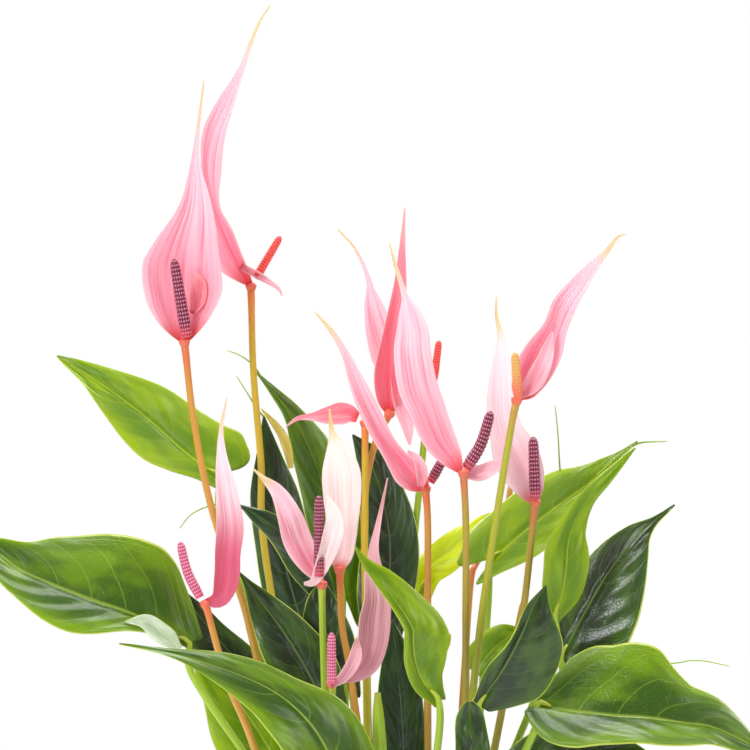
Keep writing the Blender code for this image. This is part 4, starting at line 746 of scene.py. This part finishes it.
def leaf_material(name, deep, bright, vein, through, share, under):
    tree = Tree(name)
    uv, across, along = tree.sheet_places()
    bow = tree.maths("MULTIPLY", tree.maths("POWER", across, VEIN_CURVE), VEIN_BOW)
    count = tree.maths("MULTIPLY", tree.maths("SUBTRACT", along, bow), VEINS)
    gap = tree.maths("PINGPONG", count, 0.5)
    lateral = tree.ramp(gap, 0.0, 0.04, 1.0, 0.0)
    midrib = tree.ramp(across, 0.008, 0.03, 0.8, 0.0)
    border = tree.ramp(tree.maths("ABSOLUTE", tree.maths("SUBTRACT", across, 0.9)), 0.0, 0.012, 0.35, 0.0)
    margin = tree.ramp(across, 0.955, 0.985, 0.0, 1.0)
    veins = tree.maths("MAXIMUM", tree.maths("MULTIPLY", lateral, 0.35), tree.maths("MAXIMUM", midrib, border))
    # Painted light: the leaf goes from its shaded colour to its lit colour in soft patches, and it is painted lighter
    # toward its edges (rim_light).
    patch = tree.ramp(tree.noise(uv, 3.0, 3.0), 0.42, 0.62)
    rim_light = tree.ramp(across, 0.35, 1.0, 0.0, 0.6)
    tone = tree.maths("ADD", tree.maths("MULTIPLY", patch, 0.6), rim_light, clamp=True)
    body = tree.mix(tone, deep, bright)
    body = tree.mix(veins, body, vein)
    body = tree.mix(margin, body, srgb(*LEAF_MARGIN))
    cells = tree.add("ShaderNodeTexVoronoi", {"Scale": 46.0}, feature="DISTANCE_TO_EDGE")
    tree.links.new(uv, cells.inputs["Vector"])
    net = tree.ramp(cells.outputs[0], 0.0, 0.08, 1.0, 0.0)
    body = tree.mix(tree.maths("MULTIPLY", net, 0.10), body, vein)
    tree.put(tree.shader.inputs["Base Color"], body)
    tree.shader.inputs["Roughness"].default_value = 0.5 if under else 0.24
    tree.shader.inputs["Specular IOR Level"].default_value = 0.25 if under else 0.6
    height = tree.maths("SUBTRACT", tree.maths("MULTIPLY", net, -0.15), tree.maths("MULTIPLY", veins, 0.5))
    height = tree.maths("MULTIPLY", height, tree.ramp(along, 0.6, 0.85, 1.0, 0.0))
    tree.bump(height, 0.0004, 0.6)
    glow = tree.mix(tree.maths("MULTIPLY", veins, 0.5), through, vein)
    tree.glow_through(glow, share)
    return tree.material


def edge_material(name, colour):
    tree = Tree(name)
    darker = tuple(0.85 * c for c in colour[:3]) + (1.0,)
    tree.put(tree.shader.inputs["Base Color"], tree.mix(tree.noise(None, 400.0), colour, darker))
    tree.shader.inputs["Roughness"].default_value = 0.4
    return tree.material


def spathe_material(name, pale, rich, base, tail, share, blush):
    tree = Tree(name)
    uv, across, along = tree.sheet_places()
    # Painted highlight: soft low-frequency noise turns the spathe toward its pale colour in large patches, and a
    # little richer between them.
    highlight_clouds = tree.stretched_noise(uv, 3.0, 2.0, 2.0)
    streaks = tree.ramp(tree.stretched_noise(uv, 17.0, 1.3, 1.5), 0.36, 0.66)
    threads = tree.ramp(tree.stretched_noise(uv, 46.0, 2.4, 0.5), 0.35, 0.7)
    tone = tree.maths("MULTIPLY_ADD", streaks, 0.5)
    tree.put(tone.node.inputs[2], tree.maths("MULTIPLY", threads, tree.ramp(along, 0.45, 0.65, 0.22, 0.1)))
    tone = tree.maths("MULTIPLY", tone, tree.ramp(highlight_clouds, 0.3, 0.62, 0.35, 1.25), clamp=True)
    body = tree.mix(tone, pale, rich)
    depth = tree.ramp(along, 0.1, 0.6, 0.5, 0.0)
    body = tree.mix(depth, body, rich)
    # Paler toward the edges and up toward the tail: partly the spathe's own paler colour, partly painted highlight.
    body = tree.mix(tree.ramp(across, 0.55, 1.0, 0.0, 0.55), body, pale)
    body = tree.mix(tree.ramp(along, 0.5, 0.78, 0.0, 0.5), body, pale)
    body = tree.mix(tree.ramp(along, 0.76, 0.93), body, tail)
    body = tree.mix(tree.ramp(along, max(blush - 0.3, 0.0), blush, 0.9, 0.0), body, base)
    tree.put(tree.shader.inputs["Base Color"], body)
    tree.shader.inputs["Roughness"].default_value = 0.32
    tree.shader.inputs["Specular IOR Level"].default_value = 0.45
    relief = tree.maths("MULTIPLY", streaks, tree.ramp(along, 0.4, 0.62, 1.0, 0.0))
    tree.bump(relief, 0.0004, 0.5)
    tree.glow_through(body, share)
    return tree.material


def stem_material(name, top, middle, foot):
    tree = Tree(name)
    uv = tree.add("ShaderNodeUVMap", uv_map="UVMap").outputs[0]
    parts = tree.add("ShaderNodeSeparateXYZ", {0: uv})
    along = parts.outputs[1]
    body = tree.mix(tree.ramp(along, 0.2, 0.75), foot, middle)
    body = tree.mix(tree.ramp(along, 0.9, 1.0), body, top)
    grain = tree.stretched_noise(uv, 14.0, 3.0, 3.0)
    body = tree.mix(tree.ramp(grain, 0.4, 0.7, 0.0, 0.35), body, foot)
    tree.put(tree.shader.inputs["Base Color"], body)
    tree.shader.inputs["Roughness"].default_value = 0.35
    tree.bump(grain, 0.0002, 0.4)
    return tree.material


def spadix_material(name, body, tip, dot, low, dots, blend):
    tree = Tree(name)
    floret = tree.add("ShaderNodeAttribute", attribute_name="floret").outputs["Fac"]
    rise = tree.add("ShaderNodeAttribute", attribute_name="rise").outputs["Fac"]
    colour = tree.mix(tree.ramp(floret, 0.05, 0.4), body, tip)
    colour = tree.mix(tree.ramp(rise, 0.0, blend, 0.8, 0.0), colour, low)
    pick = tree.ramp(tree.noise(None, 700.0, 1.0), 0.35, 0.6, 0.25, 0.9)
    dotted = tree.maths("MULTIPLY", tree.ramp(floret, 0.58, 0.84), tree.maths("MULTIPLY", pick, dots))
    colour = tree.mix(dotted, colour, dot)
    tree.put(tree.shader.inputs["Base Color"], colour)
    tree.shader.inputs["Roughness"].default_value = 0.42
    return tree.material


LEAF_RIM, SPATHE_RIM, LEAF_MARGIN = (190, 205, 60), (250, 205, 190), (200, 215, 80)

# Looks as screen colours. Leaf: in the shade, lit, vein, light coming through, and how much comes through.
# The leaf looks lit, mid, dark and blue are lit and shaded copies of one leaf green. They are painted light and
# painted shade for how each leaf stands in the light, and blue is the deepest painted shade. Pale and straw are a
# leaf's underside and a dry leaf.
LEAF_LOOKS = {
    "pale": ((186, 204, 170), (232, 238, 226), (214, 222, 190), (230, 240, 200), 0.3),
    "straw": ((206, 190, 90), (232, 220, 140), (230, 220, 150), (240, 225, 130), 0.4),
    "lit": ((86, 126, 2), (166, 192, 4), (196, 212, 70), (186, 212, 2), 0.42),
    "yellow": ((166, 186, 2), (218, 226, 6), (230, 236, 90), (235, 242, 4), 0.5),
    "mid": ((38, 74, 2), (122, 158, 4), (158, 184, 60), (170, 200, 2), 0.3),
    "dark": ((14, 36, 2), (62, 98, 4), (104, 136, 48), (100, 146, 2), 0.14),
    "blue": ((12, 36, 8), (46, 84, 24), (90, 124, 70), (70, 118, 10), 0.12),
}
# Spathe: pale (also used for its painted highlight), rich, at its base, at its tail, how much light comes through,
# and how far up the base colour goes.
SPATHE_LOOKS = {
    "rose": ((255, 228, 236), (246, 116, 152), (240, 84, 84), (236, 220, 170), 0.42, 0.1),
    "coral": ((254, 170, 184), (236, 84, 112), (236, 60, 60), (250, 190, 190), 0.36, 0.1),
    "pale": ((255, 244, 247), (252, 204, 216), (238, 130, 140), (236, 222, 160), 0.45, 0.1),
    "cream": ((255, 246, 242), (252, 214, 218), (240, 140, 130), (236, 218, 150), 0.45, 0.1),
    "fold": ((255, 244, 243), (252, 206, 214), (250, 225, 225), (255, 240, 236), 0.4, 0.1),
    "lobe": ((255, 216, 226), (250, 150, 178), (240, 90, 100), (252, 200, 212), 0.42, 0.1),
    "blush": ((255, 238, 244), (246, 150, 176), (232, 100, 135), (236, 220, 180), 0.38, 0.56),
    "dusky": ((244, 196, 204), (214, 128, 150), (206, 84, 104), (220, 160, 160), 0.34, 0.1),
}
# Stem: at its top, middle and foot.
STEM_LOOKS = {
    "orange": ((220, 100, 66), (204, 142, 58), (158, 140, 46)),
    "bronze": ((206, 104, 70), (172, 146, 54), (146, 142, 46)),
    "ochre": ((232, 120, 62), (208, 172, 48), (164, 168, 36)),
    "olive": ((186, 140, 60), (168, 166, 40), (130, 138, 32)),
    "collar": ((232, 88, 84), (222, 96, 80), (206, 112, 66)),
    "green": ((170, 182, 50), (150, 180, 36), (110, 138, 20)),
}
# Spadix: body, floret, dot, lowest part, how strong the dots are, and how far up the lowest colour goes.
SPADIX_LOOKS = {
    "purple": ((104, 18, 50), (156, 44, 84), (248, 200, 214), (206, 60, 80), 1.0, 0.2),
    "red": ((220, 54, 50), (248, 96, 82), (252, 150, 130), (226, 70, 60), 0.5, 0.2),
    "mauve": ((178, 66, 104), (216, 112, 144), (252, 214, 222), (206, 80, 110), 1.0, 0.2),
    "ochre": ((214, 156, 80), (224, 172, 96), (230, 182, 104), (226, 74, 76), 0.2, 0.75),
}


def screen_colours(look):
    """A row of looks with its colours made into linear light, and its shares left as they are."""
    return [srgb(*entry) if isinstance(entry, tuple) else entry for entry in look]


def sheet_materials():
    leaf_edge = edge_material("leaf_edge", srgb(*LEAF_RIM))
    spathe_edge = edge_material("spathe_edge", srgb(*SPATHE_RIM))
    leaves = {}
    for name, look in LEAF_LOOKS.items():
        deep, *others = screen_colours(look)
        paler = tuple(0.6 * a + 0.4 * b for a, b in zip(deep, others[0]))
        top = leaf_material("leaf_" + name, deep, *others, under=False)
        leaves[name] = (top, leaf_material("leaf_" + name + "_under", paler, *others, under=True), leaf_edge)
    spathes = {}
    for name, look in SPATHE_LOOKS.items():
        material = spathe_material("spathe_" + name, *screen_colours(look))
        spathes[name] = (material, material, spathe_edge)
    return leaves, spathes


def place(piece, node, slot):
    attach(piece, "root")
    if node:
        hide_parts(node)


def stalk_points(leaf):
    foot = Vector((*leaf["foot"], SOIL_LEVEL))
    first, second = (Vector(point) for point in leaf["midrib"][:2])
    rise = first.z - foot.z
    toward = (second - first).normalized()
    below = first - Vector((0, 0, 0.10 * rise)) - toward * 1.5
    low = foot + Vector((0, 0, 0.35 * rise))
    middle = low.lerp(below, 0.5)
    return [point * MM for point in (foot, low, middle, below, first - toward * 0.5, first + toward * 5)]


def build_leaves(looks, stems):
    for name, leaf in LEAVES.items():
        item = blade(name + "_blade", leaf, "leaf", looks[leaf["look"]])
        place(item, name, "leaf_green")
        place(tube(name + "_stalk", stalk_points(leaf), STALK_RADII, stems["green"]), None, "leaf_green")
    for name, leaf in SMALL_LEAVES.items():
        place(blade(name, leaf, "leaf", looks[leaf["look"]]), None, "leaf_green")
    for name, points in LEAF_ENDS.items():
        end = tube(name, vectors(points), LEAF_END_RADII, stems["green"], segments=8, rings=20)
        place(end, None, "leaf_green")
    place(tube("leaf_21_sheath", vectors(SHEATH), SHEATH_RADII, stems["green"]), None, "leaf_green")


def build_flowers(looks, stems, spikes):
    for name, flower in FLOWERS.items():
        stem = tube(name + "_stem", vectors(flower["stem"]), STEM_RADII, stems[flower["stalk"]], ripple=0.04)
        place(stem, name + "_stem", "stem_ochre")
        before, top = vectors(flower["stem"][-2:])
        rise = (top - before).normalized() * MM
        ends = [top - rise * 3, top + rise * 1.2]
        place(tube(name + "_collar", ends, COLLAR_RADII, stems["collar"], rings=12), None, "spathe_pink")
        item = blade(name + "_spathe", flower, "spathe", looks[flower["look"]])
        place(item, name + "_spathe", "spathe_pink")
        spike = spadix(name + "_spadix", flower["spadix"], flower["fat"], spikes[flower["spike"]])
        place(spike, None if name in ONE_PIECE_STEMS else name + "_spadix", "spadix_purple")
    for name, lobe in LOBES.items():
        place(blade(name, lobe, "spathe", looks[lobe["look"]]), None, "spathe_pink")
    stem = tube("bud_stem", vectors(BUD["stem"]), BUD_STEM_RADII, stems["orange"])
    place(stem, "bud_stem", "stem_ochre")
    bud = tube("bud", vectors(BUD["bud"]), BUD_RADII, stems["orange"], ripple=0.15)
    place(bud, None, "spathe_pink")


def pot_materials():
    pot = Tree("pot_ceramic")
    speckle = pot.ramp(pot.noise(None, 900.0, 2.0), 0.5, 0.72, 0.0, 0.4)
    pot.put(pot.shader.inputs["Base Color"], pot.mix(speckle, srgb(190, 184, 175), srgb(150, 142, 132)))
    pot.shader.inputs["Roughness"].default_value = 0.5
    pot.bump(pot.noise(None, 260.0, 3.0), 0.0002, 0.4)
    soil = Tree("potting_soil")
    crumbs = soil.noise(None, 420.0, 6.0)
    brown = soil.mix(soil.ramp(crumbs, 0.35, 0.7), srgb(34, 24, 18), srgb(92, 70, 52))
    soil.put(soil.shader.inputs["Base Color"], brown)
    soil.shader.inputs["Roughness"].default_value = 0.95
    soil.bump(crumbs, 0.003, 1.0)
    return pot.material, soil.material


def turned(name, profile, segments, material, roll=0.0):
    """A closed body turned about Z from a profile of (radius, height) in mm that starts and ends on the axis."""
    work = bmesh.new()
    rings = []
    for radius, height in profile:
        if radius == 0:
            rings.append([work.verts.new((0, 0, height * MM))] * segments)
            continue
        ring = []
        for k in range(segments):
            angle = 2 * math.pi * k / segments
            x, y = radius * math.cos(angle), radius * math.sin(angle)
            lift = roll * noise.noise(Vector((x * 0.16, y * 0.16, 3.0)))
            lift += 0.5 * roll * noise.noise(Vector((x, y, 8.0)) * 0.5)
            ring.append(work.verts.new((x * MM, y * MM, (height + lift) * MM)))
        rings.append(ring)
    for low, high in zip(rings, rings[1:]):
        for k in range(segments):
            n = (k + 1) % segments
            corners = [low[k], low[n], high[n], high[k]]
            face = work.faces.new([v for i, v in enumerate(corners) if v not in corners[:i]])
            face.smooth = True
    item = finished(name, work, material)
    item.data.set_sharp_from_angle(angle=0.7)
    return item


def build_pot():
    ceramic, earth = pot_materials()
    pot = turned("pot_body", POT_PROFILE, 128, ceramic)
    place(pot, "pot", "pot_ceramic")
    top = [(SOIL_RADIUS * i / SOIL_RINGS, SOIL_TOP) for i in range(SOIL_RINGS + 1)]
    soil = turned("soil_top", top + SOIL_SIDE, 120, earth, roll=1.1)
    place(soil, "soil", "potting_soil")


def area_light(name, spot, size, power):
    lamp = bpy.data.lights.new(name, "AREA")
    lamp.shape = "RECTANGLE"
    lamp.size, lamp.size_y = size
    lamp.energy = power
    item = bpy.data.objects.new(name, lamp)
    item.location = spot
    item.rotation_euler = (Vector(PLANT_MIDDLE) - Vector(spot)).to_track_quat("-Z", "Y").to_euler()
    bpy.context.scene.collection.objects.link(item)


def build_studio():
    world = bpy.data.worlds.new("studio")
    world.use_nodes = True
    bpy.context.scene.world = world
    nodes, links = world.node_tree.nodes, world.node_tree.links
    background = nodes["Background"]
    background.inputs[0].default_value = (1, 1, 1, 1)
    background.inputs[1].default_value = SKY_LIGHT
    seen = nodes.new("ShaderNodeBackground")
    seen.inputs[0].default_value = (1, 1, 1, 1)
    seen.inputs[1].default_value = SKY_SEEN
    path = nodes.new("ShaderNodeLightPath")
    mixed = nodes.new("ShaderNodeMixShader")
    links.new(path.outputs["Is Camera Ray"], mixed.inputs[0])
    links.new(background.outputs[0], mixed.inputs[1])
    links.new(seen.outputs[0], mixed.inputs[2])
    links.new(mixed.outputs[0], nodes["World Output"].inputs[0])
    for name, (spot, size, power) in LAMPS.items():
        area_light(name, spot, size, power)

    work = bmesh.new()
    bmesh.ops.create_circle(work, cap_ends=True, segments=96, radius=FLOOR_RADIUS)
    mesh = bpy.data.meshes.new("floor")
    work.to_mesh(mesh)
    work.free()
    floor = add_object("floor", mesh)
    tree = Tree("floor_paper")
    paper = tree.mix(tree.noise(None, 60.0), (0.8, 0.8, 0.8, 1), (0.84, 0.84, 0.84, 1))
    tree.put(tree.shader.inputs["Base Color"], paper)
    tree.shader.inputs["Roughness"].default_value = 0.9
    floor.data.materials.append(tree.material)


def build_camera():
    target, tilt = Vector(CAMERA_TARGET), CAMERA_ELEVATION
    lens = bpy.data.cameras.new("camera")
    lens.sensor_width = SENSOR_WIDTH
    lens.lens = SENSOR_WIDTH * CAMERA_DISTANCE / CAMERA_VIEW_WIDTH
    lens.clip_end = 20.0
    item = bpy.data.objects.new("camera", lens)
    item.location = target + Vector((0, -math.cos(tilt), math.sin(tilt))) * CAMERA_DISTANCE
    item.rotation_euler = (math.pi / 2 - tilt, 0, 0)
    bpy.context.scene.collection.objects.link(item)
    bpy.context.scene.camera = item


def main():
    build_camera()
    leaves, spathes = sheet_materials()
    stems = {name: stem_material("stem_" + name, *screen_colours(look)) for name, look in STEM_LOOKS.items()}
    spikes = {
        name: spadix_material("spadix_" + name, *screen_colours(look)) for name, look in SPADIX_LOOKS.items()
    }
    build_leaves(leaves, stems)
    build_flowers(spathes, stems, spikes)
    build_pot()
    build_studio()
    scene = bpy.context.scene
    scene.view_settings.view_transform = "Standard"
    scene.view_settings.look = "None"


main()
